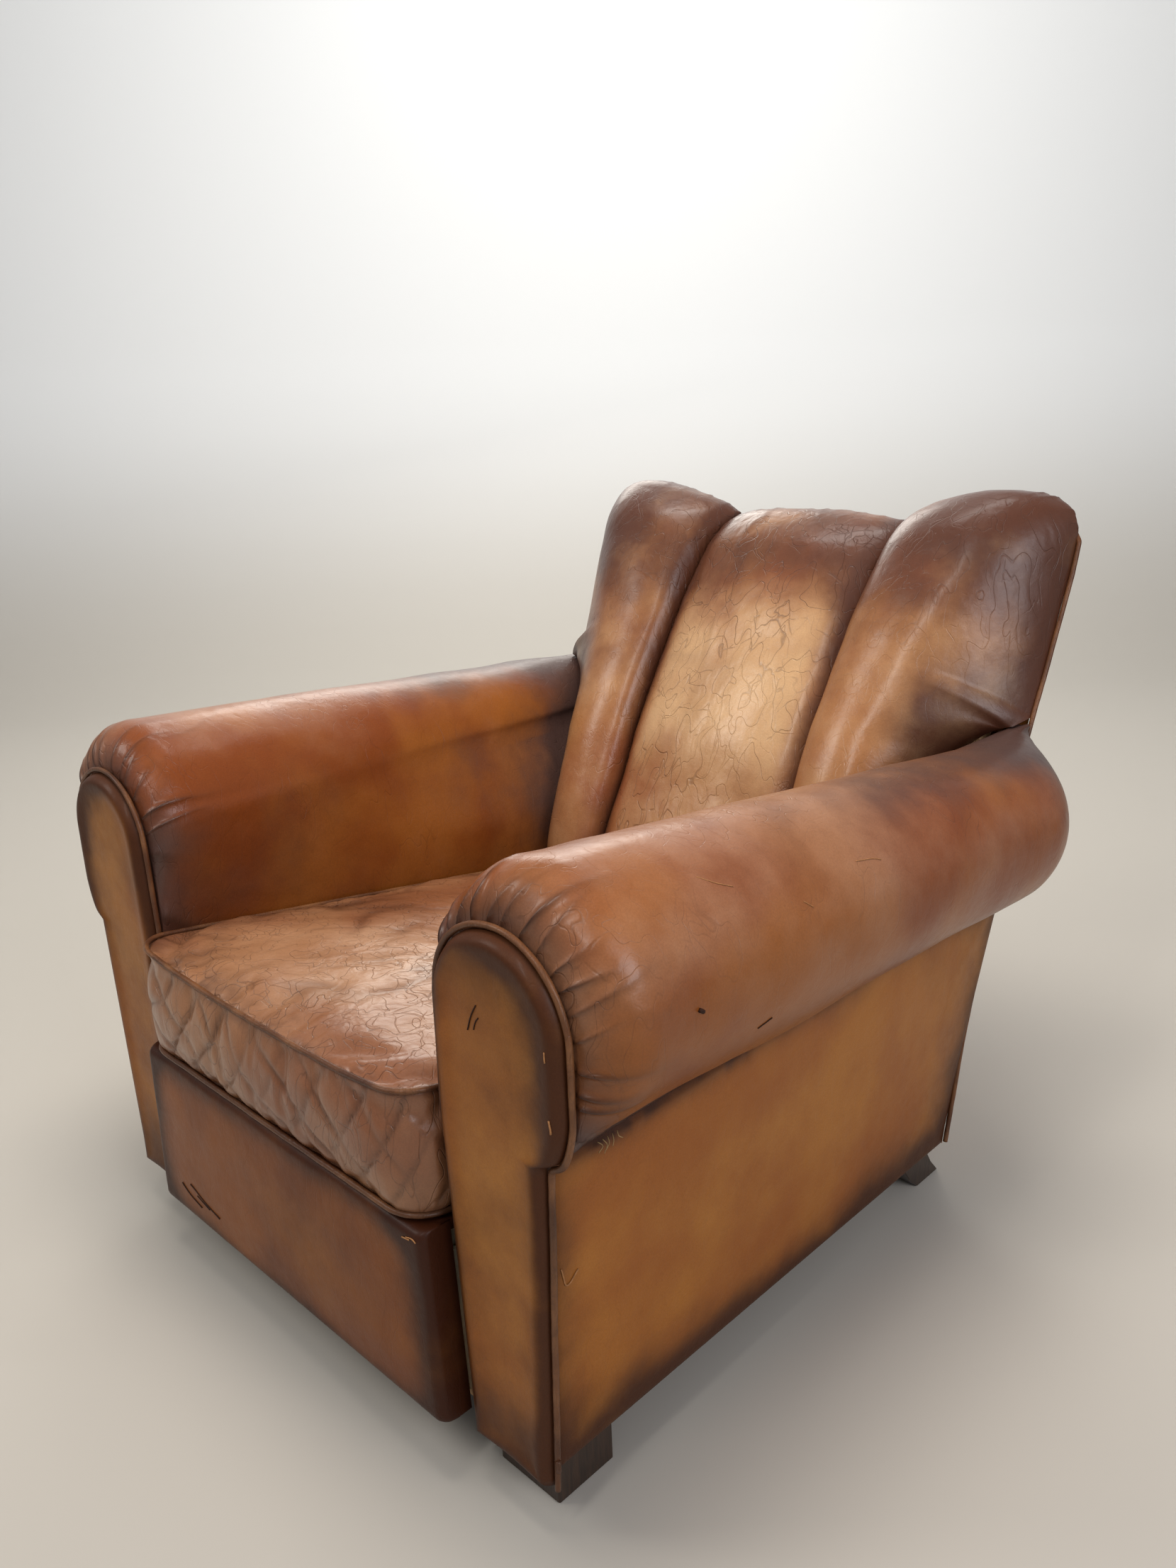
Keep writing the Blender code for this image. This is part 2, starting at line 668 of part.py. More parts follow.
def back_row(index):
    """Whole row across the inside back, from one rear edge to the other."""
    half = [(x, min(y, top_edge(x)[0] - TOP_TURN), z)
            for x, y, z in centre_points(index) + wing_points(index)]
    return [(-x, y, z) for x, y, z in half[:0:-1]] + half


def build_back_cover():
    """One piece of leather sewn into three flutes and drawn over the top of the back."""
    rows = [back_row(index) for index in range(len(BACK_ROWS) - 1)]
    rows.append([(x, *top_edge(x)) for x, _, _ in rows[-1]])
    sheet("back_cover", rows, BROWN, flip=False)


def seam_y(z):
    """Depth of the flute seams at a height, on the front of the back."""
    return blend([(row_z, y) for y, row_z, _ in BACK_ROWS[:-2]], z)


def build_channel_pads():
    """Stuffing of the three flutes, between the cover and the back frame."""
    levels = (CHANNEL_BOTTOM_Z, *(key for key, _ in REAR_EDGE[2:6]), CHANNEL_TOP_Z)
    inset = LEATHER + SOFT_GAP + CHANNEL_SLACK
    for name, side in (("centre", 0), ("left", 1), ("right", -1)):
        rings = []
        for z in levels:
            edge = SEAM_X + LEATHER + PAD_GAP
            if side:
                low_x, high_x = edge, blend(CORNER_LINE, z) - CHANNEL_SLACK
            else:
                low_x, high_x = CHANNEL_SEAM_SLACK - edge, edge - CHANNEL_SEAM_SLACK
            swell = (WING_BULGE if side else CENTRE_BULGE) * blend(BULGE_SHARE, z)
            back = frame_front_y(z) - GAP
            ring = [(high_x, back, z), (low_x, back, z)]
            for across, out in CHANNEL_PROFILE:
                front = seam_y(z) - out * swell + inset
                ring.append((mix(low_x, high_x, across), min(front, back - CHANNEL_SLACK), z))
            rings.append(mirrored(ring, side or 1))
        loft("back_channel_pad_" + name, rings, STUFFING)


def outside_back_y(x, z):
    """Outer face of the outside back, bowed out a little in its middle."""
    return rear_y(z) + OUTSIDE_BACK_BOW * (1.0 - (x / BACK_HALF_WIDTH) ** 2)


def top_edge(x):
    """Depth and height of the rear top edge, across the back."""
    z = blend(TOP_EDGE, abs(x))
    return outside_back_y(x, z), z


def build_outside_back():
    """Leather over the back of the frame, and the welt around its sides and top."""
    half = [min(x, BACK_HALF_WIDTH - GAP) for x, _ in TOP_EDGE]
    columns = [-x for x in half[:0:-1]] + half
    rows = []
    for z in [BODY_BOTTOM_Z] + [key for key, _ in REAR_EDGE[1:-1]] + [None]:
        row = []
        for x in columns:
            height = top_edge(x)[1] - TOP_WELT_DROP - WELT_RADIUS if z is None else z
            row.append((x, outside_back_y(x, height), height))
        rows.append(row)
    sheet("outside_back", rows, TAN, flip=True)


def build_back_welt():
    """Welt up one rear edge, across the top and down the other."""
    away = WELT_RADIUS + 2 * GAP
    edge_x = BACK_HALF_WIDTH + away
    heights = [BODY_BOTTOM_Z + WELT_FOOT] + [key for key, _ in REAR_EDGE[1:-1]]
    corner_z = top_edge(BACK_HALF_WIDTH)[1] - TOP_WELT_DROP
    line = [(edge_x, rear_y(z) + WELT_BEHIND, z) for z in heights + [corner_z]]
    top = []
    for x, _ in TOP_EDGE[-2::-1]:
        y, z = top_edge(x)
        top.append((x, y + away, z - TOP_WELT_DROP))
    half = line + top
    cord("back_welt", half + [(-x, y, z) for x, y, z in half[-2::-1]], WELT_RADIUS, DARK)


# Seat

def build_seat_front():
    """Leather over the padded seat front, turned over the deck, and the pad behind it."""
    lip = LEATHER + GAP
    radius = SEAT_EDGE_RADIUS
    top = deck_z(SEAT_FRONT_Y) + lip
    profile = [(SEAT_FRONT_Y + SEAT_TURN_UNDER, SEAT_BOTTOM_Z),
               (SEAT_FRONT_Y + SEAT_BOTTOM_TURN, SEAT_BOTTOM_Z),
               (SEAT_FRONT_Y, SEAT_BOTTOM_Z + SEAT_BOTTOM_TURN),
               (SEAT_FRONT_Y - SEAT_BELLY, 0.5 * top), (SEAT_FRONT_Y, top - radius),
               (SEAT_FRONT_Y + 0.3 * radius, top - 0.3 * radius),
               (SEAT_FRONT_Y + radius, deck_z(SEAT_FRONT_Y + radius) + lip),
               (0.0, deck_z(0.0) + lip), (SEAT_LIP_Y, deck_z(SEAT_LIP_Y) + lip)]
    rows = []
    for index, (y, z) in enumerate(profile):
        over_deck = index > 5
        half = DECK_HALF_WIDTH + lip if over_deck else seat_half_width(z)
        if over_deck:
            right = [(half, y, z - SEAT_LIP_DROP), (half, y, z - SEAT_SIDE_EASE)]
        else:
            end_y = mix(y, SEAT_SIDE_BACK_Y, 0.5) if index < 2 else SEAT_SIDE_BACK_Y
            right = [(half, end_y, z), (half, y + SEAT_SIDE_EASE, z)]
        right.append((half - SEAT_SIDE_EASE, y, z))
        row = [(-x, b, c) for x, b, c in right]
        row += [(x, y, z) for x in (-SEAT_MIDDLE_X, 0.0, SEAT_MIDDLE_X)]
        rows.append(row + right[::-1])
    sheet("seat_front_cover", rows, BROWN, flip=False)
    inset = LEATHER + PAD_GAP
    rings = []
    front, back = SEAT_FRONT_Y + inset, FACING_BACK_Y
    under = PAD_THICKNESS + GAP
    bottom = SEAT_BOTTOM_Z + SEAT_PAD_LIFT
    for low, high in ((bottom, bottom), (deck_z(front) - under, deck_z(back) - under)):
        half = seat_half_width(low) - inset
        rings.append([(-half, front, low), (half, front, low), (half, back, high), (-half, back, high)])
    loft("seat_front_pad", rings, STUFFING)


def build_seat_deck():
    """Seat pad, and the hessian under it that the springs push against."""
    front = SEAT_FRONT_Y + LEATHER + PAD_GAP
    rim = SEAT_EDGE_RADIUS
    pad = [(front, PAD_THICKNESS), (front, rim), (front + rim, 0.0)]
    hessian_top = PAD_THICKNESS + GAP
    cloth_front = FACING_BACK_Y + 2 * GAP
    cloth = [(cloth_front, hessian_top + CLOTH_THICKNESS), (cloth_front, hessian_top)]
    for name, steps, finish in (("seat_pad", pad, STUFFING), ("spring_hessian", cloth, JUTE)):
        half = DECK_HALF_WIDTH - PAD_GAP
        rings = []
        for start, depth in steps:
            near, far = deck_z(start) - depth, deck_z(DECK_BACK_Y) - depth
            rings.append([(-half, start, near), (half, start, near),
                          (half, DECK_BACK_Y, far), (-half, DECK_BACK_Y, far)])
        loft(name, rings, finish)


def cushion_ring(inset, share, rise):
    """Ring around the cushion: share 0 is its underside, share 1 its top seam."""
    half_x = CUSHION_HALF_WIDTH - inset
    half_y = 0.5 * (CUSHION_BACK_Y - CUSHION_FRONT_Y) - inset
    centre_y = 0.5 * (CUSHION_BACK_Y + CUSHION_FRONT_Y)
    radius = max(CUSHION_CORNER_RADIUS - inset, 0.012)
    ring = []
    for corner in range(4):
        spin = corner * 90.0
        sign_x = 1 if corner in (0, 3) else -1
        sign_y = 1 if corner in (0, 1) else -1
        for degrees in (0.0, 30.0, 60.0, 90.0):
            angle = math.radians(spin + degrees)
            ring.append((sign_x * (half_x - radius) + radius * math.cos(angle),
                         centre_y + sign_y * (half_y - radius) + radius * math.sin(angle)))
        following = ((-1, 1), (-1, -1), (1, -1), (1, 1))[corner]
        end = ring[-1]
        target = (following[0] * (half_x - radius) if corner % 2 == 0 else end[0],
                  end[1] if corner % 2 == 0 else centre_y + following[1] * (half_y - radius))
        ring += [tuple(mix(a, b, step / 5) for a, b in zip(end, target)) for step in range(1, 5)]
    points = []
    for x, y in ring:
        back = (y - CUSHION_FRONT_Y) / (CUSHION_BACK_Y - CUSHION_FRONT_Y)
        under = deck_z(y) + LEATHER + 3 * GAP
        lift = CUSHION_CORNER_LIFT * share * abs(x / CUSHION_HALF_WIDTH) ** 3 * (1.0 - back)
        height = mix(CUSHION_THICKNESS, CUSHION_BACK_THICKNESS, back) * share
        points.append((x, y, under + height + lift + rise))
    return points


def build_cushion():
    """Loose boxed cushion, crowned on top, with a welt around both its seams."""
    rings = [(inset, 0.0, 0.0) for inset in CUSHION_UNDER]
    rings.append((CUSHION_SEAM_INSET, CUSHION_LOW_SEAM, 0.0))
    rings += [(-out * CUSHION_BULGE, share, 0.0) for out, share in CUSHION_SIDE]
    rings.append((CUSHION_SEAM_INSET, 1.0, 0.0))
    rings += [(inset, 1.0, share * CUSHION_CROWN) for inset, share in CUSHION_TOP]
    loft("seat_cushion", [cushion_ring(*ring) for ring in rings], BROWN)
    away = CUSHION_SEAM_INSET - CUSHION_WELT_RADIUS - GAP
    for name, share, rise in (("bottom", CUSHION_LOW_SEAM, 0.0), ("top", 1.0, CUSHION_WELT_RISE)):
        cord("cushion_welt_" + name, cushion_ring(away, share, rise), CUSHION_WELT_RADIUS, DARK,
             closed=True)


# Frame, springs and feet

def raked_board(name, low_x, high_x, low_z, high_z):
    """Timber of the back frame, sawn to the line of the rear edge."""
    knots = [low_z] + [key for key, _ in REAR_EDGE if low_z < key < high_z] + [high_z]
    rings = []
    for z in knots:
        back = rear_y(z) - BACK_FRAME_REAR
        front = back - BACK_FRAME_DEPTH
        rings.append([(low_x, front, z), (high_x, front, z), (high_x, back, z), (low_x, back, z)])
    ease_edges(loft(name, rings, BEECH))


def build_frame():
    """Beech frame: posts, rails and corner blocks."""
    front = FACING_BACK_Y + GAP
    post_back = front + ARM_POST_THICKNESS
    rail_in = FRAME_OUTSIDE_X - RAIL_THICKNESS
    back_in = rail_in - GAP - BACK_POST_WIDTH
    box("front_rail", (-ARM_POST_INSIDE_X + GAP, front, RAIL_BOTTOM_Z),
        (ARM_POST_INSIDE_X - GAP, front + FRONT_RAIL_THICKNESS, FRONT_RAIL_TOP_Z), BEECH)
    for side, name in SIDES:
        def timber(label, low, high):
            xs = sorted((side * low[0], side * high[0]))
            box(label + "_" + name, (xs[0], *low[1:]), (xs[1], *high[1:]), BEECH)

        timber("arm_post", (ARM_POST_INSIDE_X, front, RAIL_BOTTOM_Z),
               (FRAME_OUTSIDE_X, post_back, ARM_POST_TOP_Z))
        timber("side_rail", (rail_in, post_back + GAP, RAIL_BOTTOM_Z),
               (FRAME_OUTSIDE_X, rear_y(RAIL_BOTTOM_Z) - BACK_FRAME_REAR, RAIL_TOP_Z))
        timber("arm_rail", (rail_in, post_back + GAP, ARM_RAIL_BOTTOM_Z),
               (FRAME_OUTSIDE_X, rear_y(ARM_RAIL_BOTTOM_Z) - BACK_FRAME_REAR, ARM_RAIL_TOP_Z))
        timber("inside_rail", (INSIDE_RAIL_X, post_back + GAP, INSIDE_RAIL_BOTTOM_Z),
               (INSIDE_RAIL_X + INSIDE_RAIL_WIDTH,
                frame_front_y(INSIDE_RAIL_BOTTOM_Z) - GAP, INSIDE_RAIL_TOP_Z))
        xs = sorted((side * back_in, side * (rail_in - GAP)))
        raked_board("back_post_" + name, *xs, RAIL_BOTTOM_Z, BACK_POST_TOP_Z)
        corner_x = rail_in - GAP
        corner_y = post_back + GAP
        flat_piece("corner_block_" + name,
                   [(side * corner_x, corner_y), (side * corner_x, corner_y + CORNER_BLOCK_SIDE),
                    (side * (corner_x - CORNER_BLOCK_SIDE), corner_y)][::side],
                   RAIL_BOTTOM_Z, RAIL_TOP_Z, BEECH)
    half = back_in - GAP
    raked_board("back_rail", -half, half, RAIL_BOTTOM_Z, RAIL_TOP_Z)
    raked_board("back_tacking_rail", -half, half, TACKING_RAIL_BOTTOM_Z, TACKING_RAIL_TOP_Z)
    raked_board("top_rail", -half, half, TOP_RAIL_BOTTOM_Z, BACK_POST_TOP_Z)


def build_webbing():
    """Jute straps under the rails: one layer across, the other from front to back."""
    across_top = RAIL_BOTTOM_Z - GAP
    across_bottom = across_top - STRAP_THICKNESS
    along_top = across_bottom - GAP
    along_bottom = along_top - STRAP_THICKNESS
    half = 0.5 * STRAP_WIDTH
    reach = FRAME_OUTSIDE_X - RAIL_THICKNESS + STRAP_TACK
    front = FACING_BACK_Y + GAP + FRONT_RAIL_THICKNESS - STRAP_TACK
    back = frame_front_y(RAIL_BOTTOM_Z) + STRAP_TACK
    for number, y in enumerate(SPRING_Y, 1):
        box(f"webbing_across_{number}", (-reach, y - half, across_bottom),
            (reach, y + half, across_top), JUTE, eased=False)
    for number, x in enumerate(SPRING_X, 1):
        box(f"webbing_along_{number}", (x - half, front, along_bottom),
            (x + half, back, along_top), JUTE, eased=False)
    cover_top = along_bottom - GAP
    side = FRAME_OUTSIDE_X - 0.5 * RAIL_THICKNESS
    foot_in = FOOT_OUTSIDE_X - FRONT_FOOT_WIDTH - SOFT_GAP
    rear_in = FOOT_OUTSIDE_X - REAR_FOOT_WIDTH - SOFT_GAP
    foot_end = FRONT_FOOT_Y + FRONT_FOOT_DEPTH + SOFT_GAP
    rear_start = REAR_FOOT_TOP_Y - SOFT_GAP
    half_outline = [(foot_in, front), (foot_in, foot_end), (side, foot_end), (side, rear_start),
                    (rear_in, rear_start), (rear_in, rear_start + DUST_COVER_LAP)]
    outline = half_outline + [(-x, y) for x, y in half_outline[::-1]]
    flat_piece("dust_cover", outline, cover_top - CLOTH_THICKNESS, cover_top, CAMBRIC)


def build_spring(number, x, y):
    """Double-cone coil spring between the webbing and the sloping hessian."""
    under = PAD_THICKNESS + 2 * GAP + CLOTH_THICKNESS + SPRING_WIRE
    bottom = RAIL_BOTTOM_Z + SPRING_WIRE
    points = []
    total = SPRING_TURNS * SPRING_STEPS
    for step in range(total + 1):
        share = step / total
        angle = 2.0 * math.pi * step / SPRING_STEPS
        waist = abs(2.0 * share - 1.0)
        radius = mix(SPRING_WAIST_RADIUS, SPRING_END_RADIUS, waist)
        px, py = x + radius * math.cos(angle), y + radius * math.sin(angle)
        climb = min(max((share - SPRING_FLAT) / (1.0 - 2.0 * SPRING_FLAT), 0.0), 1.0)
        points.append((px, py, mix(bottom, deck_z(py) - under, climb)))
    cord(f"seat_spring_{number}", points, SPRING_WIRE, STEEL)


def build_feet():
    """Two square blocks in front, and two feet behind that sweep back to the floor."""
    top = RAIL_BOTTOM_Z - GAP
    for side, name in SIDES:
        xs = sorted((side * (FOOT_OUTSIDE_X - FRONT_FOOT_WIDTH), side * FOOT_OUTSIDE_X))
        box("front_foot_" + name, (xs[0], FRONT_FOOT_Y, 0.0),
            (xs[1], FRONT_FOOT_Y + FRONT_FOOT_DEPTH, top), WENGE)
        rings = []
        for share in REAR_FOOT_LEVELS:
            taper = REAR_FOOT_TAPER * (1.0 - share)
            swept = REAR_FOOT_SWEEP * (1.0 - share) ** REAR_FOOT_CURVE
            start = REAR_FOOT_TOP_Y + swept + taper
            end = start + REAR_FOOT_DEPTH - 2 * taper
            low = FOOT_OUTSIDE_X - REAR_FOOT_WIDTH + taper
            high = FOOT_OUTSIDE_X - taper
            ring = [(low, start, top * share), (high, start, top * share),
                    (high, end, top * share), (low, end, top * share)]
            rings.append(mirrored(ring, side))
        ease_edges(loft("rear_foot_" + name, rings, WENGE))


for SIDE, NAME in SIDES:
    build_arm_cover(SIDE, NAME)
    build_arm_pad(SIDE, NAME)
    build_facing(SIDE, NAME)
    build_side_panel(SIDE, NAME)
build_back_cover()
build_channel_pads()
build_outside_back()
build_back_welt()
build_seat_front()
build_seat_deck()
build_cushion()
build_frame()
build_webbing()
for ROW, DEPTH in enumerate(SPRING_Y):
    for COLUMN, ACROSS in enumerate(SPRING_X):
        build_spring(3 * ROW + COLUMN + 1, ACROSS, DEPTH)
build_feet()
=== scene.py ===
# %% [markdown]
# # A worn leather club chair
# The imported CAD model gives the true sizes and the frame, springs and feet. This lesson
# lays the worn leather over it: each cover is cut as one surface in numpy, gathered,
# creased and coloured by rules, and given a leather material.

import json
import math

import bmesh
import bpy
import numpy as np
from mathutils import Matrix, Vector


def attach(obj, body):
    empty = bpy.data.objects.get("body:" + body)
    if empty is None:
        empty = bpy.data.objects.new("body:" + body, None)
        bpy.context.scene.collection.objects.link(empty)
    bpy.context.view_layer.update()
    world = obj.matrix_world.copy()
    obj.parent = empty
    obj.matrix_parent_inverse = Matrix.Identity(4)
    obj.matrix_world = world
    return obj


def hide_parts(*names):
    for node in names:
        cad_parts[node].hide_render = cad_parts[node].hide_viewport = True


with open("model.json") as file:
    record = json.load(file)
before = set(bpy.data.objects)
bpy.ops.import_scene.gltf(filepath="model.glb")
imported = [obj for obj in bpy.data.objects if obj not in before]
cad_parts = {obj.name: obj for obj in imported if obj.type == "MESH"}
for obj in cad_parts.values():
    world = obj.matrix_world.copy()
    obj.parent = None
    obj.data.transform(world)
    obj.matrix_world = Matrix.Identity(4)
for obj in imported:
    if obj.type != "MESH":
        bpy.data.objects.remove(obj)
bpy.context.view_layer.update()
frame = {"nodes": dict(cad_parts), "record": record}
print("CAD nodes:", len(frame["nodes"]))

# %% [markdown]
# ## Working measures
# All depths are counted from the plane of the arm fronts, as an upholsterer would, and
# one shift at the end stands the chair over the origin, where the CAD model has it.
# The tables below are the same lines that the CAD covers follow.

# %% Measures shared by the covers
DEPTH_CENTRE = 0.46747
BODY_BOTTOM_Z = 0.064
NOTCH = (0.399, 0.396)
OUTSIDE_BOTTOM_X = 0.385
PANEL_TOP_Z = 0.392
REAR_EDGE = ((0.062, 0.690), (0.200, 0.722), (0.340, 0.765), (0.450, 0.800), (0.560, 0.838),
             (0.660, 0.888), (0.760, 0.935), (0.829, 0.958))
SIDES = ((1, "left"), (-1, "right"))
RANDOM = np.random.default_rng(27)


def table(pairs, key):
    """Values on straight lines between (key, value) pairs."""
    keys, values = zip(*pairs)
    return np.interp(key, keys, values)


def mix(start, end, share):
    """Number or array part of the way from start to end."""
    return start + (end - start) * share


def ease(value, low, high):
    """Smooth step from 0 at low to 1 at high."""
    share = np.clip((np.asarray(value, float) - low) / (high - low), 0.0, 1.0)
    return share * share * (3.0 - 2.0 * share)


def fall(away, width, power=2):
    """Falls from 1 at no distance towards 0 past a width."""
    return np.exp(-(away / width) ** power)


def spline(control, places):
    """Smooth curve through the rows of an array, read at fractional row numbers."""
    control = np.asarray(control, float)
    places = np.clip(places, 0.0, len(control) - 1.0)
    first = np.minimum(places.astype(int), len(control) - 2)
    t = (places - first).reshape((-1,) + (1,) * (control.ndim - 1))
    ends = np.concatenate([2 * control[:1] - control[1:2], control,
                           2 * control[-1:] - control[-2:-1]])
    a, b, c, d = (ends[first + step] for step in range(4))
    return 0.5 * (2 * b + (c - a) * t + (2 * a - 5 * b + 4 * c - d) * t ** 2
                  + (3 * b - a - 3 * c + d) * t ** 3)


def rear_y(z):
    """Depth of the body's raked rear edge at a height."""
    return table(REAR_EDGE, z)


def outside_x(z):
    """Outer face of the side panels at a height."""
    return mix(OUTSIDE_BOTTOM_X, NOTCH[0], (z - BODY_BOTTOM_Z) / (NOTCH[1] - BODY_BOTTOM_Z))


print("rear edge from", REAR_EDGE[0], "to", REAR_EDGE[-1])

# %% [markdown]
# ## Lumps and creases
# Old leather is never smooth. Gradient noise gives soft lumps of a chosen width. The
# lines where the noise crosses zero make long wandering creases, which is how worn
# hide breaks: narrow valleys between fuller islands.

# %% Noise for lumps and creases
TABLE_SIZE = 1024
DIRECTIONS = RANDOM.normal(size=(TABLE_SIZE, 3))
DIRECTIONS /= np.linalg.norm(DIRECTIONS, axis=1, keepdims=True)
ORDER = RANDOM.permutation(TABLE_SIZE)


def lumps(points, width, seed=0, stretch=(1.0, 1.0, 1.0)):
    """Gradient noise, about -1 to 1, with lumps of a width in metres."""
    spot = np.asarray(points, float) / (width * np.asarray(stretch)) + 17.3 * seed
    cell = np.floor(spot).astype(int)
    part = spot - cell
    fade = part ** 3 * (part * (part * 6 - 15) + 10)
    total = np.zeros(spot.shape[:-1])
    for corner in np.ndindex(2, 2, 2):
        corner = np.array(corner)
        index = cell + corner
        pick = ORDER[(ORDER[(ORDER[index[..., 0] % TABLE_SIZE] + index[..., 1]) % TABLE_SIZE]
                      + index[..., 2]) % TABLE_SIZE]
        weight = np.prod(np.where(corner, fade, 1 - fade), axis=-1)
        total += weight * np.sum(DIRECTIONS[pick] * (part - corner), axis=-1)
    return 1.8 * total


def creases(points, width, sharp, seed=0, stretch=(1.0, 1.0, 1.0), bend=0.35):
    """Valley strength 0 to 1 along wandering lines, about a width apart."""
    points = np.asarray(points, float)
    drift = np.stack([lumps(points, 1.7 * width, seed + 31 * axis) for axis in (1, 2, 3)], -1)
    field = lumps(points + bend * width * drift, width, seed, stretch)
    broken = ease(lumps(points, 2.2 * width, seed + 7), -0.25, 0.35)
    return fall(field, sharp) * broken


print("noise directions:", len(DIRECTIONS))

# %% [markdown]
# ## From a grid of points to a cover
# A cover is a grid of points, like cloth on a cutting table. Every point also carries
# four marks for the finish: dark patina, crease, rubbed light wear and fine wrinkles. The
# patina and crease marks also hold painted shade, and the rubbed mark a painted sheen. They
# are kept as a colour attribute, so that the colour always sits where the shape is.

# %% Grids, normals and meshes
ROOT_SHIFT = np.array([0.0, -DEPTH_CENTRE, 0.0])


def grid_normals(points):
    """Unit normals of a grid, on the side of columns cross rows."""
    across = np.gradient(points, axis=1)
    along = np.gradient(points, axis=0)
    normal = np.cross(across, along)
    return normal / np.maximum(np.linalg.norm(normal, axis=-1, keepdims=True), 1e-9)


def run_length(points, axis):
    """Distance from the first row or column, measured over the surface."""
    step = np.linalg.norm(np.diff(points, axis=axis), axis=-1)
    start = np.zeros_like(np.take(step, [0], axis=axis))
    return np.concatenate([start, np.cumsum(step, axis=axis)], axis=axis)


def add_object(name, data):
    """Object made from its data and put into the scene."""
    made = bpy.data.objects.new(name, data)
    bpy.context.scene.collection.objects.link(made)
    return made


def make_piece(name, points, faces, marks, material, replaces=()):
    """Object from points and faces, with its finish, riding on the chair."""
    mesh = bpy.data.meshes.new(name)
    mesh.from_pydata((points + ROOT_SHIFT).tolist(), [], faces)
    mesh.validate()
    mesh.shade_smooth()
    if marks is not None:
        wear = mesh.color_attributes.new("wear", "FLOAT_COLOR", "POINT")
        wear.data.foreach_set("color", np.clip(marks, 0.0, 1.0).astype(np.float32).ravel())
    mesh.materials.append(material)
    piece = add_object(name, mesh)
    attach(piece, "root")
    if replaces:
        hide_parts(*replaces)
    return piece


def grid_faces(rows, columns, flip=False):
    """Four-cornered faces over a grid."""
    start = np.arange(rows - 1)[:, None] * columns + np.arange(columns - 1)[None]
    corners = np.stack([start, start + 1, start + columns + 1, start + columns], -1)
    corners = corners.reshape(-1, 4)
    return (corners[:, ::-1] if flip else corners).tolist()


def grid_piece(name, points, marks, material, flip=False, replaces=()):
    """Cover from a grid of points and its finish marks."""
    rows, columns = points.shape[:2]
    piece = make_piece(name, points.reshape(-1, 3), grid_faces(rows, columns, flip),
                       marks.reshape(-1, 4), material, replaces)
    print(name, "faces:", len(piece.data.polygons))
    return piece


# %% [markdown]
# ## Camera
# The photograph was taken from a standing height beside the front left of the chair.
# The lens, tilt and place were fitted to the chair's own corners.

# %% Camera at the photograph's angle
IMAGE_HEIGHT_PX = 2212
FOCAL_PX = 1750.0
CAMERA_PLACE = (1.0498, -0.5821, 0.9998)
CAMERA_PITCH, CAMERA_ROLL, CAMERA_YAW = 0.3076, -0.0394, -0.7896

camera_data = bpy.data.cameras.new("photo_camera")
camera_data.sensor_width = 36.0
camera_data.lens = FOCAL_PX / IMAGE_HEIGHT_PX * camera_data.sensor_width
camera = add_object("photo_camera", camera_data)
turn = (Matrix.Rotation(-CAMERA_YAW, 4, "Z")
        @ Matrix.Rotation(math.radians(90.0) - CAMERA_PITCH, 4, "X")
        @ Matrix.Rotation(CAMERA_ROLL, 4, "Z"))
camera.matrix_world = Matrix.Translation(Vector(CAMERA_PLACE) + Vector(ROOT_SHIFT)) @ turn
bpy.context.scene.camera = camera
print("lens", round(camera_data.lens, 2), "mm, looking along",
      [round(value, 3) for value in turn @ Vector((0, 0, -1))])

# %% [markdown]
# ## Colours and node helper
# Colours are written as sRGB hex, as in any paint program, and one function turns them
# into the linear values that the shader needs. One more function adds a node, sets its
# options and plugs in its inputs, so that a material reads from top to bottom. The last
# two end a material with its shader and press a height into its surface.


# %% Colour and node helpers
def paint(hex_code, alpha=1.0):
    """Linear colour from an sRGB hex code."""
    parts = [int(hex_code[start:start + 2], 16) / 255 for start in (1, 3, 5)]
    linear = [c / 12.92 if c <= 0.04045 else ((c + 0.055) / 1.055) ** 2.4 for c in parts]
    return (*linear, alpha)


def add_node(tree, kind, inputs=None, **options):
    """Add a node with its options, and set or link its inputs."""
    made = tree.nodes.new("ShaderNode" + kind)
    for option, value in options.items():
        setattr(made, option, value)
    for socket, value in (inputs or {}).items():
        if isinstance(value, bpy.types.NodeSocket):
            tree.links.new(value, made.inputs[socket])
        else:
            made.inputs[socket].default_value = value
    return made


def new_material(name):
    """Empty material, its tree, and the place on the object as texture coordinates."""
    material = bpy.data.materials.new(name)
    material.use_nodes = True
    tree = material.node_tree
    tree.nodes.clear()
    return material, tree, add_node(tree, "TexCoord").outputs["Object"]


def finish(tree, sockets):
    """Principled shader with its inputs, plugged into the output."""
    shader = add_node(tree, "BsdfPrincipled", sockets)
    add_node(tree, "OutputMaterial", {"Surface": shader.outputs["BSDF"]})


def bumped(tree, height, strength, distance, below=None, invert=False):
    """Normal with a height pressed into it, over the bumps below."""
    sockets = {"Height": height, "Strength": strength, "Distance": distance}
    if below is not None:
        sockets["Normal"] = below
    return add_node(tree, "Bump", sockets, invert=invert).outputs["Normal"]


print("ochre in linear light:", [round(value, 3) for value in paint("#8f5c2a")])
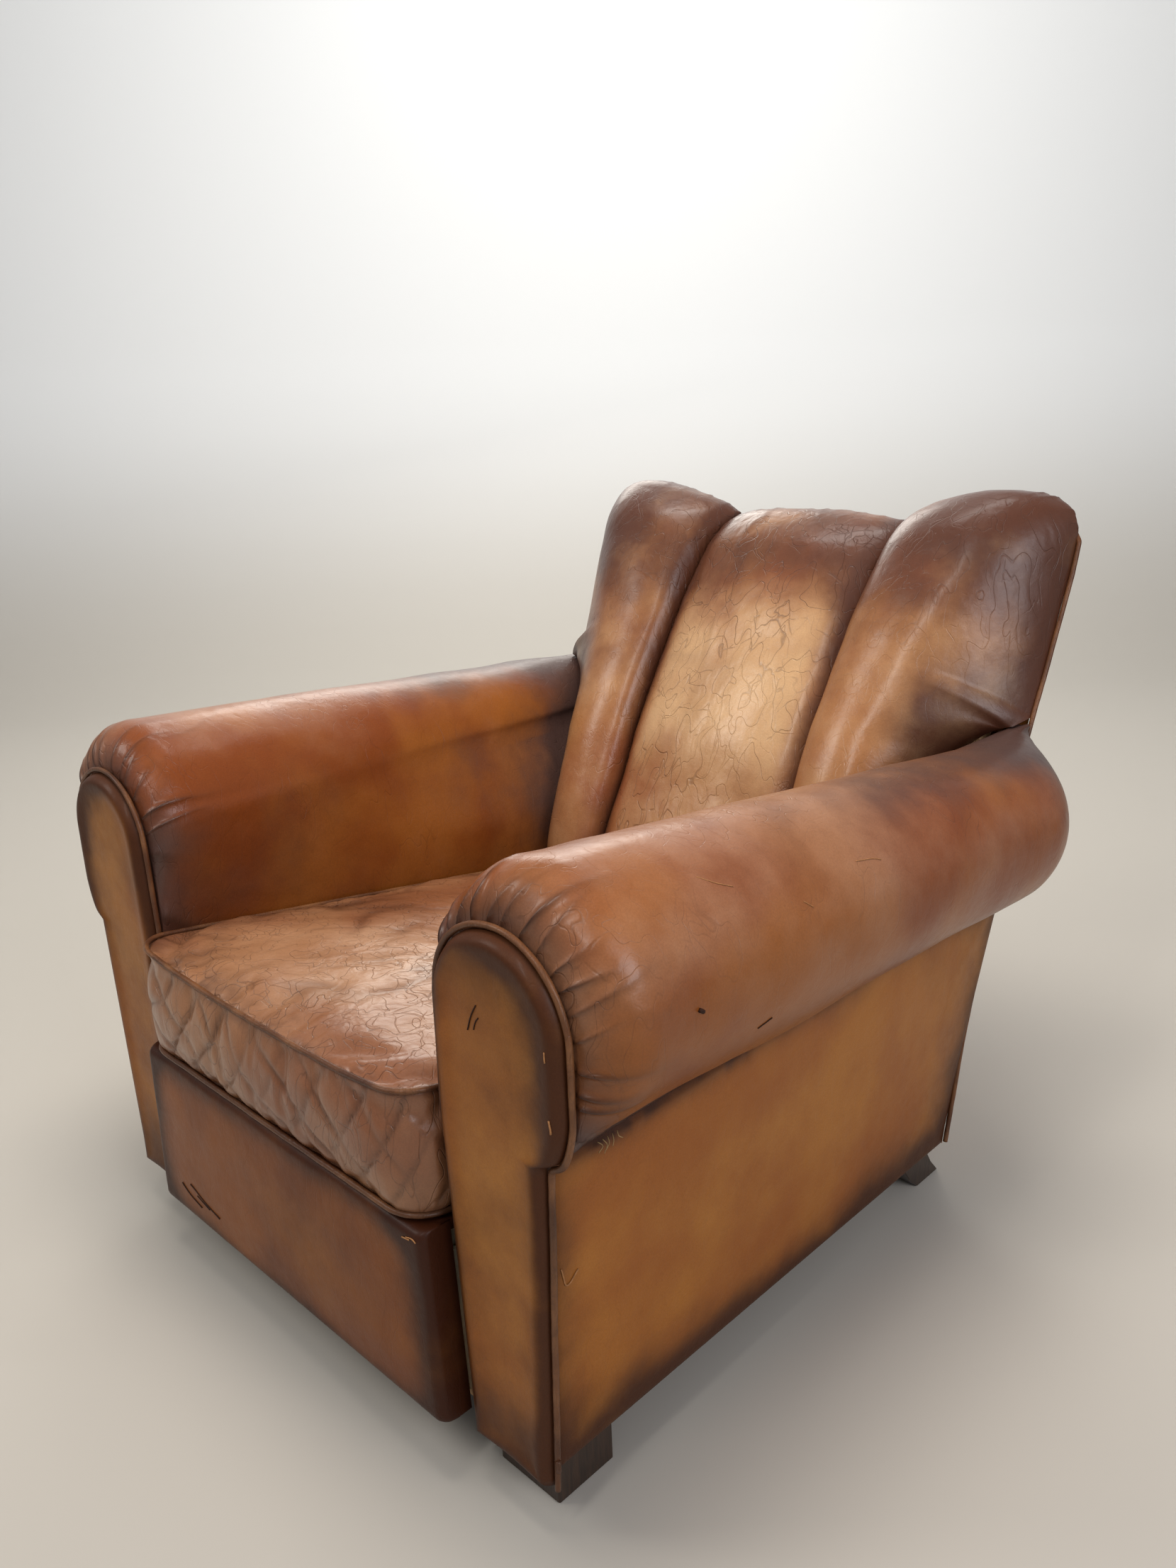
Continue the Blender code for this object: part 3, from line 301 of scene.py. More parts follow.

# %% [markdown]
# ## Sheepskin leather
# The covers are aniline-dyed sheepskin, waxed and worn for decades. Dye rubs off the
# flat middles and leaves an ochre tan, while hands and seams keep a dark brown patina. The
# same colours also paint shade under the arm rolls, and a sheen and highlight on the roll
# and cushion tops and the centre flute.
# The wrinkles of old hide are fine lines that cross in two directions, drawn where a
# stretched cloudy noise passes its middle value, with a sparse net of small cells between
# them. The grain of sheepskin is 1 to 2 mm, too small to show at this distance, so it is
# drawn at 2.2 mm. Wax makes a soft gloss: roughness about 0.35 with a thin coat.

# %% Leather material
GRAIN_MM = 2.2
SPECKLE_MM = 1.6
MOTTLE_MM = 75.0
CLOUD_MM = 210.0
DRIFT_MM, DRIFT_REACH = 55.0, 0.028
PATCH_MM, SPARSE_MM = 60.0, 40.0
CLOUDY_GLOSS_MM, PUCKER_MM = 9.0, 17.0
# Dark brown for dirt in wrinkles and creases, and for painted shade under the arm rolls.
DIRT_AND_SHADE = "#3a2014"


def per_metre(size_mm):
    """Texture scale that gives features of a size in millimetres."""
    return 1000.0 / size_mm


def noise(tree, place, size_mm, detail=3.0, roughness=0.55):
    """Cloudy noise, 0 to 1, with features of a size in millimetres."""
    return add_node(tree, "TexNoise", {"Vector": place, "Scale": per_metre(size_mm),
                                       "Detail": detail, "Roughness": roughness}).outputs


def ramp(tree, value, low, high, start=0.0, end=1.0):
    """Value moved smoothly from one range to another."""
    return add_node(tree, "MapRange", {"Value": value, "From Min": low, "From Max": high,
                                       "To Min": start, "To Max": end},
                    interpolation_type="SMOOTHSTEP").outputs["Result"]


def blend(tree, share, first, second, kind="MIX"):
    """Colour part of the way from the first to the second."""
    return add_node(tree, "Mix", {"Factor": share, "A": first, "B": second},
                    data_type="RGBA", blend_type=kind).outputs["Result"]


def combine(tree, kind, first, second, third=0.0):
    """Result of one piece of arithmetic on numbers."""
    return add_node(tree, "Math", {0: first, 1: second, 2: third},
                    operation=kind).outputs["Value"]


def wrinkle_net(tree, place, size_mm, width):
    """Net of thin lines between cells of a size in millimetres."""
    cells = add_node(tree, "TexVoronoi", {"Vector": place, "Scale": per_metre(size_mm)},
                     feature="DISTANCE_TO_EDGE").outputs["Distance"]
    return ramp(tree, cells, 0.0, width, 1.0, 0.0)


def turned(tree, place, angles, squeeze):
    """Texture place turned and squeezed, so that its pattern is drawn out one way."""
    return add_node(tree, "Mapping", {"Vector": place, "Rotation": angles,
                                      "Scale": (1.0, 1.0, squeeze)}).outputs["Vector"]


def long_wrinkles(tree, place, size_mm, width):
    """Long wandering lines, drawn where a cloudy noise passes its middle value."""
    cloud = noise(tree, place, size_mm, 1.2, 0.45)["Fac"]
    off = combine(tree, "ABSOLUTE", combine(tree, "SUBTRACT", cloud, 0.5), 0.0)
    return ramp(tree, off, 0.0, width, 1.0, 0.0)


def leather(name, bare, dyed, patina, light, roughness=0.36, wrinkle_mm=32.0, shine=0.5):
    """Waxed sheepskin: bare and dyed areas, patina, wrinkles, light wear, painted shade and sheen.
    """
    material, tree, place = new_material(name)
    wear = add_node(tree, "Attribute", attribute_name="wear").outputs
    marks = add_node(tree, "SeparateColor", {"Color": wear["Color"]}).outputs
    mottle = noise(tree, place, MOTTLE_MM, 5.0)["Fac"]
    spread = combine(tree, "SUBTRACT", mottle, 0.5)
    dyed_share = ramp(tree, noise(tree, place, CLOUD_MM, 3.0)["Fac"], 0.38, 0.64)
    colour = blend(tree, dyed_share, paint(bare), paint(dyed))
    dark = combine(tree, "MULTIPLY_ADD", spread, 0.75, marks["Red"])
    colour = blend(tree, ramp(tree, dark, 0.06, 0.98), colour, paint(patina))
    # The rubbed mark lightens worn areas, and also paints a sheen on the roll and cushion tops and
    # a highlight on the centre flute.
    rubbed_and_sheen = combine(tree, "MULTIPLY_ADD", spread, -0.8, marks["Blue"])
    colour = blend(tree, ramp(tree, rubbed_and_sheen, 0.05, 1.05, 0.0, 0.8), colour, paint(light))

    drift = noise(tree, place, DRIFT_MM, 1.0)["Color"]
    bent = add_node(tree, "VectorMath", {0: drift, 1: (DRIFT_REACH,) * 3, 2: place},
                    operation="MULTIPLY_ADD").outputs["Vector"]
    drawn = turned(tree, bent, (0.30, 0.55, 0.0), 0.26)
    wide = long_wrinkles(tree, drawn, 0.90 * wrinkle_mm, 0.0095)
    crossing = long_wrinkles(tree, turned(tree, bent, (-0.35, -0.75, 0.3), 0.30),
                             0.75 * wrinkle_mm, 0.0100)
    small = wrinkle_net(tree, drawn, 0.8 * wrinkle_mm, 0.028)
    patchy = ramp(tree, noise(tree, place, PATCH_MM)["Fac"], 0.38, 0.62)
    sparse = ramp(tree, noise(tree, bent, SPARSE_MM)["Fac"], 0.47, 0.62)
    small = combine(tree, "MULTIPLY", small, combine(tree, "MULTIPLY", sparse, 0.80))
    crossing = combine(tree, "MULTIPLY", crossing, combine(tree, "MULTIPLY", patchy, 0.75))
    net = combine(tree, "MAXIMUM", combine(tree, "MAXIMUM", wide, crossing), small)
    net = combine(tree, "MULTIPLY", net, wear["Alpha"])
    # The crease mark brings in dirt along the wrinkles, and painted shade under the arm rolls.
    dirt_and_shade = add_node(tree, "Math", {0: net, 1: 0.42, 2: marks["Green"]},
                    operation="MULTIPLY_ADD", use_clamp=True).outputs["Value"]
    colour = blend(tree, dirt_and_shade, colour, paint(DIRT_AND_SHADE))
    speckle = ramp(tree, noise(tree, place, SPECKLE_MM, 2.0)["Fac"], 0.30, 0.70, 0.93, 1.06)
    colour = blend(tree, 1.0, colour, speckle, "MULTIPLY")
    smooth = combine(tree, "MULTIPLY_ADD", marks["Red"], 0.10, roughness - 0.03)
    cloudy = noise(tree, place, CLOUDY_GLOSS_MM, 4.0)["Fac"]
    gloss = combine(tree, "MULTIPLY_ADD", cloudy, 0.16, smooth)
    gloss = combine(tree, "SUBTRACT", gloss, 0.08)

    grain = add_node(tree, "TexVoronoi", {"Vector": place, "Scale": per_metre(GRAIN_MM)},
                     feature="SMOOTH_F1").outputs["Distance"]
    bump = bumped(tree, grain, 0.16, 0.0003)
    puffed = combine(tree, "MULTIPLY", noise(tree, drawn, 0.9 * wrinkle_mm, 2.0)["Fac"],
                     wear["Alpha"])
    bump = bumped(tree, puffed, 0.6, 0.005, bump)
    bump = bumped(tree, net, 0.7, 0.0008, bump, invert=True)
    bump = bumped(tree, noise(tree, place, PUCKER_MM, 4.0)["Fac"], 0.3, 0.0020, bump)
    finish(tree, {"Base Color": colour, "Roughness": gloss, "Normal": bump, "IOR": 1.46,
                  "Specular IOR Level": shine, "Coat Weight": 0.30 * shine,
                  "Coat Roughness": 0.18, "Coat IOR": 1.45})
    return material


OCHRE_HIDE = leather("sheepskin_ochre", "#a06528", "#905320", "#44230f", "#b57d38", 0.42,
                     shine=0.22)
# The cognac's light colour is greyed to paint the sheen on the roll tops as well as their wear.
COGNAC_HIDE = leather("sheepskin_cognac", "#874d1c", "#743811", "#493530", "#ab8368", 0.36,
                      shine=0.42)
# The tan's light colour paints the highlight on the centre flute as well as its wear; the seat's
# light colour is greyed to paint the sheen on the cushion top.
TAN_HIDE = leather("sheepskin_tan", "#97643a", "#82492a", "#4c2a1b", "#c9a67c", 0.32, 34.0)
SEAT_HIDE = leather("sheepskin_seat", "#936748", "#7f5035", "#4c2e22", "#bc9678", 0.34, 30.0)
RUSSET_HIDE = leather("sheepskin_russet", "#82491d", "#703a15", "#36180a", "#9a642b", 0.40,
                      shine=0.20)
WELT_HIDE = leather("sheepskin_welt", "#6d4427", "#57331f", "#2f1b13", "#9a6a42", 0.42, 12.0,
                    shine=0.35)
print("leathers:", [material.name for material in bpy.data.materials
                    if material.name.startswith("sheepskin")])

# %% [markdown]
# ## Arm covers
# One skin covers the inside of the arm, rolls over the top and ends under the roll. At
# the front it is gathered by hand into pleats around the facing, and at the back it is
# drawn in to the rear edge like the end of a bolster. The section of the arm is written
# as a line of keys, so that the same key runs along the whole arm.

# %% Sections of the arm
ARM_INSIDE_X = 0.2605
ARM_BOTTOM_Z = 0.190
ARM_FLAT_TOP_Z = 0.440
ROLL_FRONT = np.array([0.362, 0.523, 0.118])
ROLL_REAR = np.array([0.405, 0.497, 0.094])
ROLL_FULL_Y, ROLL_DOME_Y, INSIDE_END_Y = 0.055, 0.700, 0.695
ROLL_END_DEGREES, TUCK_DEGREES = -84.0, -62.0
ARCH = (0.348, 0.512, 0.079)
SHOULDER_Z = 0.455
INSIDE_KEYS, ROLL_KEYS = 3, 14
KEYS = np.arange(INSIDE_KEYS + ROLL_KEYS + 1)
KEY_DEGREES = mix(180.0, ROLL_END_DEGREES, (KEYS - INSIDE_KEYS) / ROLL_KEYS)
FACING_BACK_Y = 0.006
FACING_INSIDE = ((0.052, 0.2825), (0.396, 0.2665), (0.512, 0.269))


def roll_at(y):
    """Centre x, centre z and radius of the roll at a depth."""
    share = np.clip((y - ROLL_FULL_Y) / (ROLL_DOME_Y - ROLL_FULL_Y), 0.0, 1.0)
    return mix(ROLL_FRONT, ROLL_REAR, share)


def arm_section(y):
    """Points (x, z) of the arm at the whole keys, at one depth."""
    x, z, radius = roll_at(y)
    heights = mix(ARM_BOTTOM_Z, z, KEYS / INSIDE_KEYS)
    inside = np.stack([table(((ARM_FLAT_TOP_Z, ARM_INSIDE_X), (z, x - radius)), heights),
                       heights], -1)
    angle = np.radians(KEY_DEGREES)
    ring = np.stack([x + radius * np.cos(angle), z + radius * np.sin(angle)], -1)
    tuck = np.clip((KEY_DEGREES - TUCK_DEGREES) / (ROLL_END_DEGREES - TUCK_DEGREES), 0, 1)
    ring = mix(ring, np.array([NOTCH[0] - 0.003, PANEL_TOP_Z + 0.0003]), tuck[:, None])
    return np.where((KEYS < INSIDE_KEYS)[:, None], inside, ring)


def facing_section(grow):
    """Points (x, z) around the facing at the same keys."""
    points = []
    outer = ARCH[0] + ARCH[2]
    straight = ARCH[1] - SHOULDER_Z
    turn_length = 0.25 * math.pi * (SHOULDER_Z - NOTCH[1] + outer - NOTCH[0])
    for key, degrees in zip(KEYS, KEY_DEGREES):
        if key < INSIDE_KEYS:
            height = mix(ARM_BOTTOM_Z, ARCH[1], key / INSIDE_KEYS)
            points.append((table(FACING_INSIDE, height) - grow, height))
            continue
        angle = math.radians(degrees)
        travel = degrees / ROLL_END_DEGREES * (straight + turn_length)
        if degrees >= 0.0:
            points.append((ARCH[0] + (ARCH[2] + grow) * math.cos(angle),
                           ARCH[1] + (ARCH[2] + grow) * math.sin(angle)))
        elif travel <= straight:
            points.append((outer + grow, ARCH[1] - travel))
        else:
            bend = 0.5 * math.pi * (travel - straight) / turn_length
            points.append((NOTCH[0] + (outer - NOTCH[0] + grow) * math.cos(bend),
                           SHOULDER_Z - (SHOULDER_Z - NOTCH[1] + grow) * math.sin(bend)))
    return np.array(points)


print("arm section at the front:", arm_section(ROLL_FULL_Y)[3].round(3))

# %% [markdown]
# The rows run from behind the facing, out over the rounded front, along the roll and
# down the dome at the rear. The pleats are sharp valleys that start at the piping at
# uneven distances and die out over three to six centimetres.

# %% Rows and pleats of an arm cover
FRONT_ROWS, LONG_ROWS, DOME_ROWS = 26, 104, 30
COLUMNS_PER_KEY = 18
DOME_EDGE_X, DOME_TOP_Z, DOME_TOP_DEGREES = 0.388, 0.586, 100.0
DOME_HIDDEN_DEPTH = 0.050
INSIDE_TUCK = 0.038
HEM_UNDER, EDGE_PAST = 0.006, 0.002
DOME_SHORT_OF_REAR = 0.006
PLEATS = 21


def arm_rows():
    """Grid of points of the plain cover, before pleats and lumps."""
    places = np.arange((len(KEYS) - 1) * COLUMNS_PER_KEY + 1) / COLUMNS_PER_KEY
    rows = []
    start = FACING_BACK_Y + 0.0003
    hem, edge = facing_section(-HEM_UNDER), facing_section(EDGE_PAST)
    full = arm_section(ROLL_FULL_Y)
    for share in (0.0, 0.5):
        rows.append(np.insert(spline(mix(hem, edge, share), places), 1, start, axis=1))
    for angle in np.linspace(0.0, 0.5 * math.pi, FRONT_ROWS):
        y = start + (ROLL_FULL_Y - start) * (1.0 - math.cos(angle))
        rows.append(np.insert(spline(mix(edge, full, math.sin(angle)), places), 1, y, axis=1))
    for y in np.linspace(ROLL_FULL_Y, ROLL_DOME_Y, LONG_ROWS)[1:]:
        inside_y = mix(ROLL_FULL_Y, INSIDE_END_Y, (y - ROLL_FULL_Y) / (ROLL_DOME_Y - ROLL_FULL_Y))
        row = np.insert(spline(arm_section(y), places), 1, y, axis=1)
        row[:, 1] = mix(inside_y, y, ease(places, INSIDE_KEYS - 1.0, INSIDE_KEYS))
        rows.append(row)
    last = rows[-1]
    degrees = np.interp(places, KEYS, KEY_DEGREES)
    hidden = np.clip((degrees - DOME_TOP_DEGREES) / (180.0 - DOME_TOP_DEGREES), 0.0, 1.0)
    edge_z = table(((ROLL_END_DEGREES, NOTCH[1]), (DOME_TOP_DEGREES, DOME_TOP_Z)), degrees)
    end_z = mix(edge_z, last[:, 2], np.sqrt(hidden))
    end_x = mix(DOME_EDGE_X, last[:, 0], np.sqrt(hidden))
    end_y = rear_y(end_z) - DOME_SHORT_OF_REAR - hidden * DOME_HIDDEN_DEPTH
    inside = places < INSIDE_KEYS
    end = np.stack([np.where(inside, last[:, 0], end_x),
                    np.where(inside, last[:, 1] + INSIDE_TUCK, end_y),
                    np.where(inside, last[:, 2], end_z)], -1)
    for angle in np.linspace(0.0, 0.5 * math.pi, DOME_ROWS)[1:]:
        rows.append(np.stack([mix(end[:, 0], last[:, 0], math.cos(angle)),
                              mix(last[:, 1], end[:, 1], math.sin(angle)),
                              mix(end[:, 2], last[:, 2], math.cos(angle))], -1))
    return np.array(rows), places


FRONT_PLEATS = {"deep": 0.0050, "long": 0.062, "wide": 0.055, "puff": 0.0014}
REAR_TUCKS = {"deep": 0.0026, "long": 0.045, "wide": 0.10, "puff": 0.0008}
TUCKS = 15
PIPING_COVERS = 0.009


def gather(places, travel, seams, draw, deep, long, wide, puff):
    """Depth of hand-made gathers that start at a seam and run out along the surface.

    Between two stitched-down valleys the skin puffs up, and both die out with distance.
    """
    count = len(seams)
    depths = draw.uniform(0.55, 1.0, count) * deep
    reach = draw.uniform(0.45, 1.0, count) * long
    skew = draw.uniform(-0.6, 0.6, count) * (seams[1] - seams[0])
    width = draw.uniform(0.7, 1.3, count) * wide
    depth = np.zeros(np.broadcast(places, travel).shape)
    rise = ease(travel, -0.002, 0.006)
    for start, deepest, far, lean, narrow in zip(seams, depths, reach, skew, width):
        away = places - start - lean * np.minimum(travel / far, 1.4)
        valley = fall(np.abs(away), narrow * (1.0 + 1.2 * travel / far), 1.3)
        depth += deepest * valley * rise * fall(travel, far, 1.8)
    for left, right, far in zip(seams[:-1], seams[1:], reach):
        across = np.clip((places - left) / (right - left), 0.0, 1.0)
        bulge = np.sin(math.pi * across) ** 0.8
        depth -= puff * bulge * rise * fall(travel, 0.7 * far, 1.6)
    return depth


def build_arm_cover(side, name):
    """Pleated, lumpy, worn cover of one arm."""
    draw = np.random.default_rng(40 + side)
    points, places = arm_rows()
    travel = run_length(points, 0)
    around = run_length(points, 1)
    normal = grid_normals(points) * -1.0
    from_rear = run_length(points[::-1], 0)[::-1]
    seams = np.linspace(2.2, 16.6, PLEATS) + draw.uniform(-0.20, 0.20, PLEATS)
    pleats = gather(places, np.maximum(travel - PIPING_COVERS, 0.0), seams, draw, **FRONT_PLEATS)
    tucks = np.linspace(6.0, 16.8, TUCKS) + draw.uniform(-0.25, 0.25, TUCKS)
    pleats += gather(places, from_rear, tucks, draw, **REAR_TUCKS)
    loose = ease(travel, 0.02, 0.08) * ease(from_rear, 0.0, 0.05)
    span = ease(around, 0.0, 0.05) * ease(around[:, -1:] - around, 0.0, 0.03)
    soft = 0.0026 * lumps(points, 0.15, 3) + 0.0006 * lumps(points, 0.05, 5)
    line = creases(points, 0.070, 0.09, 11, (1.0, 1.6, 1.0)) * ease(-travel, -0.34, -0.06)
    depth = soft * loose - pleats - 0.0006 * line * loose
    points = points + normal * (depth * span)[..., None]
    degrees = np.interp(places, KEYS, KEY_DEGREES)[None, :]
    top = fall(degrees - 82.0, 46.0)
    front = fall(travel, 0.060, 1.5)
    rear = fall(from_rear, 0.12, 1.5)
    # Painted shade on the underside of the roll, where it turns in to the side panel.
    shade_under_roll = ease(-degrees, 30.0, 80.0)
    # Painted shade on the inside face of the arm, darker towards its top.
    inner = ease(degrees, 150.0, 180.0) * ease(points[..., 2], 0.28, 0.52)
    long_top = top * ease(travel, 0.20, 0.62)
    patina = (0.20 * top + 0.62 * long_top + 0.72 * front + 1.00 * rear + 0.85 * shade_under_roll
              + 0.22 * inner + 0.24 * lumps(points, 0.20, 21) - 0.02)
    # Besides the pleats and crease lines, the last term is painted shade under the roll.
    crease = (np.clip(pleats / 0.0034, 0.0, 1.0) + 0.12 * line
              + 0.75 * ease(-degrees, 56.0, 82.0))
    # Lighter top and shoulder of the roll: rubbed wear, with a painted sheen.
    near_top = top * fall(travel - 0.26, 0.26)
    rubbed_and_sheen = (0.55 * near_top + 0.30 * fall(degrees - 20.0, 35.0)
              + 0.15 * lumps(points, 0.12, 23))
    wrinkled = 0.16 + 0.45 * front + 0.3 * rear + 0.25 * ease(lumps(points, 0.10, 24), 0.1, 0.6)
    marks = np.stack([patina, crease, rubbed_and_sheen, wrinkled], -1)
    points[..., 0] *= side
    grid_piece("arm_leather_" + name, points, marks, COGNAC_HIDE,
               flip=side > 0, replaces=("arm_cover_" + name,))


for SIDE, NAME in SIDES:
    build_arm_cover(SIDE, NAME)

# %% [markdown]
# ## Facings
# Each arm front is closed by a padded board covered in leather: nearly flat, with a
# rolled rim. Rings shrink from the outline to a line down its middle, so the rim gets
# many narrow rings and keeps its roundness.

# %% Facing outline and boards
FACING_FRONT_Y = -0.010
FACING_BOTTOM_Z = 0.052
RIM = 0.011
SPINE_LOW, SPINE_HIGH = 0.100, 0.505
SPINE_LINE = ((0.05, 0.334), (0.40, 0.333), (0.505, 0.348))
RIM_INSETS = (0.0, 0.0007, 0.002, 0.004, 0.0065, 0.009, 0.0125, 0.017, 0.022, 0.028, 0.036)
RIM_CROWN, CENTRE_SINK, INNER_RINGS = 0.0030, 0.0015, 4


def facing_outline(grow=0.0):
    """Dense outline (x, z) of a facing, from its inner foot over the arch to its outer foot."""
    inner = [(table(FACING_INSIDE, z) - grow, z)
             for z in np.linspace(FACING_BOTTOM_Z - grow, ARCH[1], 60)[:-1]]
    arch = [tuple(point) for point in spline(facing_section(grow)[INSIDE_KEYS:],
                                             np.linspace(0.0, ROLL_KEYS, 100))]
    arch = [(x if z > SHOULDER_Z else max(x, outside_x(z) + grow), z) for x, z in arch]
    outer = [(outside_x(z) + grow, z)
             for z in np.linspace(NOTCH[1] - 0.010, FACING_BOTTOM_Z - grow, 50)]
    return np.array(inner + arch + outer)


def build_facing(side, name):
    """Padded facing with a rolled, darker rim."""
    outline = facing_outline()
    bottom = np.linspace(outline[-1], outline[0], 16)[1:-1]
    outline = np.concatenate([outline, bottom])
    spine_z = np.clip(outline[:, 1], SPINE_LOW, SPINE_HIGH)
    spine = np.stack([table(SPINE_LINE, spine_z), spine_z], -1)
    reach = np.linalg.norm(outline - spine, axis=1)
    rings = [np.insert(outline, 1, FACING_BACK_Y, axis=1)]
    for inset in RIM_INSETS + (None,) * INNER_RINGS:
        if inset is None:
            last = np.linalg.norm(rings[-1][:, [0, 2]] - spine, axis=1)
            share = np.where(last < 0.004, 1.0, 1.0 - 0.62 * last / reach)
        else:
            share = inset / reach
        share = np.clip(share, 0.0, 1.0)
        flat = mix(outline, spine, share[:, None])
        from_edge = share * reach
        curve = np.sqrt(np.clip(1.0 - (1.0 - np.clip(from_edge / RIM, 0, 1)) ** 2, 0.0, 1.0))
        crown = RIM_CROWN * fall(from_edge - 0.012, 0.010)
        y = FACING_BACK_Y - (FACING_BACK_Y - FACING_FRONT_Y - CENTRE_SINK) * curve - crown
        rings.append(np.stack([flat[:, 0], y, flat[:, 1]], -1))
    rings.append(np.stack([spine[:, 0], np.full(len(spine), FACING_FRONT_Y + CENTRE_SINK),
                           spine[:, 1]], -1))
    points = np.array(rings)
    wave = 0.0011 * lumps(points, 0.10, 41) + 0.0004 * lumps(points, 0.03, 42)
    inner_part = ease(run_length(points, 0), 0.018, 0.05)
    points[..., 1] += wave * inner_part
    from_edge = np.broadcast_to(np.linalg.norm(points[..., [0, 2]] - outline, axis=-1),
                                points.shape[:2])
    x, z = points[..., 0], points[..., 2]
    rim = fall(from_edge, 0.010)
    arch_rim = fall(from_edge, 0.030) * ease(z, 0.33, 0.50) * ease(x, 0.30, 0.38)
    low = ease(-z, -0.16, -0.06)
    patina = (0.75 * rim + 0.95 * arch_rim + 0.40 * low + 0.12 * lumps(points, 0.15, 43)
              + 0.16 * ease(z, 0.40, 0.56) + 0.33)
    light = 0.10 + 0.14 * lumps(points, 0.09, 45) + 0.3 * fall(z - 0.36, 0.12)
    light *= ease(from_edge, 0.010, 0.035)
    marks = np.stack([patina, 0.0 * z, light, 0.10 + 0.10 * lumps(points, 0.08, 46)], -1)
    count = points.shape[1]
    points = np.concatenate([points, points[:, :1]], axis=1)
    marks = np.concatenate([marks, marks[:, :1]], axis=1)
    points[..., 0] *= side
    piece = grid_piece("arm_facing_leather_" + name, points, marks, OCHRE_HIDE,
                       flip=side < 0, replaces=("arm_facing_" + name,))
    bm = bmesh.new()
    bm.from_mesh(piece.data)
    bmesh.ops.remove_doubles(bm, verts=bm.verts, dist=0.00005)
    bm.to_mesh(piece.data)
    bm.free()
    return count


print("points around a facing:", [build_facing(side, name) for side, name in SIDES])

# %% [markdown]
# ## Side panels
# Below the roll the outside of the arm is one flat, lightly padded panel. It bellies a
# few millimetres, is rubbed to ochre in its middle and stays dark along every edge.

# %% Side panels
SIDE_FRONT_Y = FACING_BACK_Y + 0.0003
PANEL_ROWS, PANEL_COLUMNS = 72, 150
PANEL_SHORT_OF_REAR = 0.0012
EDGE_ROUND, EDGE_DROP, PANEL_BELLY = 0.006, 0.0030, 0.0030


def build_side_panel(side, name):
    """Flat outside panel with soft edges."""
    share_z = np.linspace(0.0, 1.0, PANEL_ROWS)[:, None]
    share_y = np.linspace(0.0, 1.0, PANEL_COLUMNS)[None, :]
    z = mix(PANEL_TOP_Z, BODY_BOTTOM_Z, share_z) + 0 * share_y
    back = rear_y(z) - PANEL_SHORT_OF_REAR
    y = mix(SIDE_FRONT_Y, back, share_y)
    edge = np.minimum.reduce([y - SIDE_FRONT_Y, back - y, PANEL_TOP_Z - z, z - BODY_BOTTOM_Z])
    inward = 1.0 - np.clip(edge / EDGE_ROUND, 0.0, 1.0)
    round_in = EDGE_DROP * (1.0 - np.sqrt(1.0 - inward ** 2))
    flat = np.stack([outside_x(z), y, z], -1)
    belly = PANEL_BELLY * ease(edge, 0.0, 0.09)
    belly += 0.0016 * lumps(flat, 0.16, 51) * ease(edge, 0.0, 0.04)
    tucks = creases(flat, 0.022, 0.16, 52, (1.0, 1.0, 3.0)) * ease(z, 0.372, 0.388)
    fine = creases(flat, 0.050, 0.07, 53)
    x = outside_x(z) - round_in + belly - 0.0012 * tucks - 0.0004 * fine * ease(edge, 0.0, 0.03)
    points = np.stack([x, y, z], -1)
    sides = fall(edge, 0.035, 1.3)
    rear = fall(back - y, 0.10, 1.4)
    low = fall(z - BODY_BOTTOM_Z, 0.06, 1.4)
    patina = (0.55 * sides + 0.38 * rear + 0.62 * low + 0.14 * lumps(points, 0.22, 54)
              + 0.05 * lumps(points, 0.07, 55) - 0.04)
    middle = fall(y - 0.30, 0.26) * fall(z - 0.25, 0.11)
    light = 0.42 * middle + 0.14 * lumps(points, 0.15, 56)
    wrinkled = 0.10 + 0.10 * lumps(points, 0.10, 57)
    # Painted shadow of the roll along the top of the panel.
    roll_contact_shadow = 0.85 * fall(PANEL_TOP_Z - z, 0.010, 1.5)
    marks = np.stack([patina, 0.45 * tucks + roll_contact_shadow, light, wrinkled], -1)
    points[..., 0] *= side
    grid_piece("side_leather_" + name, points, marks, OCHRE_HIDE,
               flip=side < 0, replaces=("side_panel_" + name,))


for SIDE, NAME in SIDES:
    build_side_panel(SIDE, NAME)

# %% [markdown]
# ## The fluted back
# The inside back is one skin sewn through in two places and stuffed into three upright
# flutes. The outer two wrap around the edge of the back. Between seams each flute swells
# in a full curve, and at a seam the skin dives into a narrow valley.

# %% Lines of the back
BACK_ROWS = np.array([
    (0.622, 0.235, 0.235), (0.614, 0.285, 0.285), (0.622, 0.340, 0.335), (0.650, 0.400, 0.390),
    (0.685, 0.460, 0.450), (0.713, 0.520, 0.515), (0.748, 0.580, 0.578), (0.786, 0.640, 0.592),
    (0.826, 0.700, 0.665), (0.856, 0.738, 0.706), (0.884, 0.769, 0.744), (0.918, 0.793, 0.776),
    (0.946, 0.804, 0.790), (0.962, 0.806, 0.799), (0.968, 0.798, 0.803)])
SWELL_SHARE = np.array([0.55, 0.62, 0.72, 0.86, 1.0, 1.0, 1.0, 1.0, 1.0, 1.0, 1.0, 0.85, 0.58,
                        0.35, 0.10])
TOP_EDGE = ((0.0, 0.800), (0.150, 0.798), (0.190, 0.809), (0.240, 0.820), (0.300, 0.832),
            (0.340, 0.835), (0.368, 0.824), (0.384, 0.803))
WING_LIFT_START_Z = 0.620
SEAM_X, BACK_HALF = 0.150, 0.384
CORNER_LINE = ((0.235, 0.236), (0.340, 0.240), (0.446, 0.250), (0.558, 0.258), (0.666, 0.288),
               (0.780, 0.334), (0.829, 0.350))
CENTRE_SWELL, WING_SWELL = 0.034, 0.046
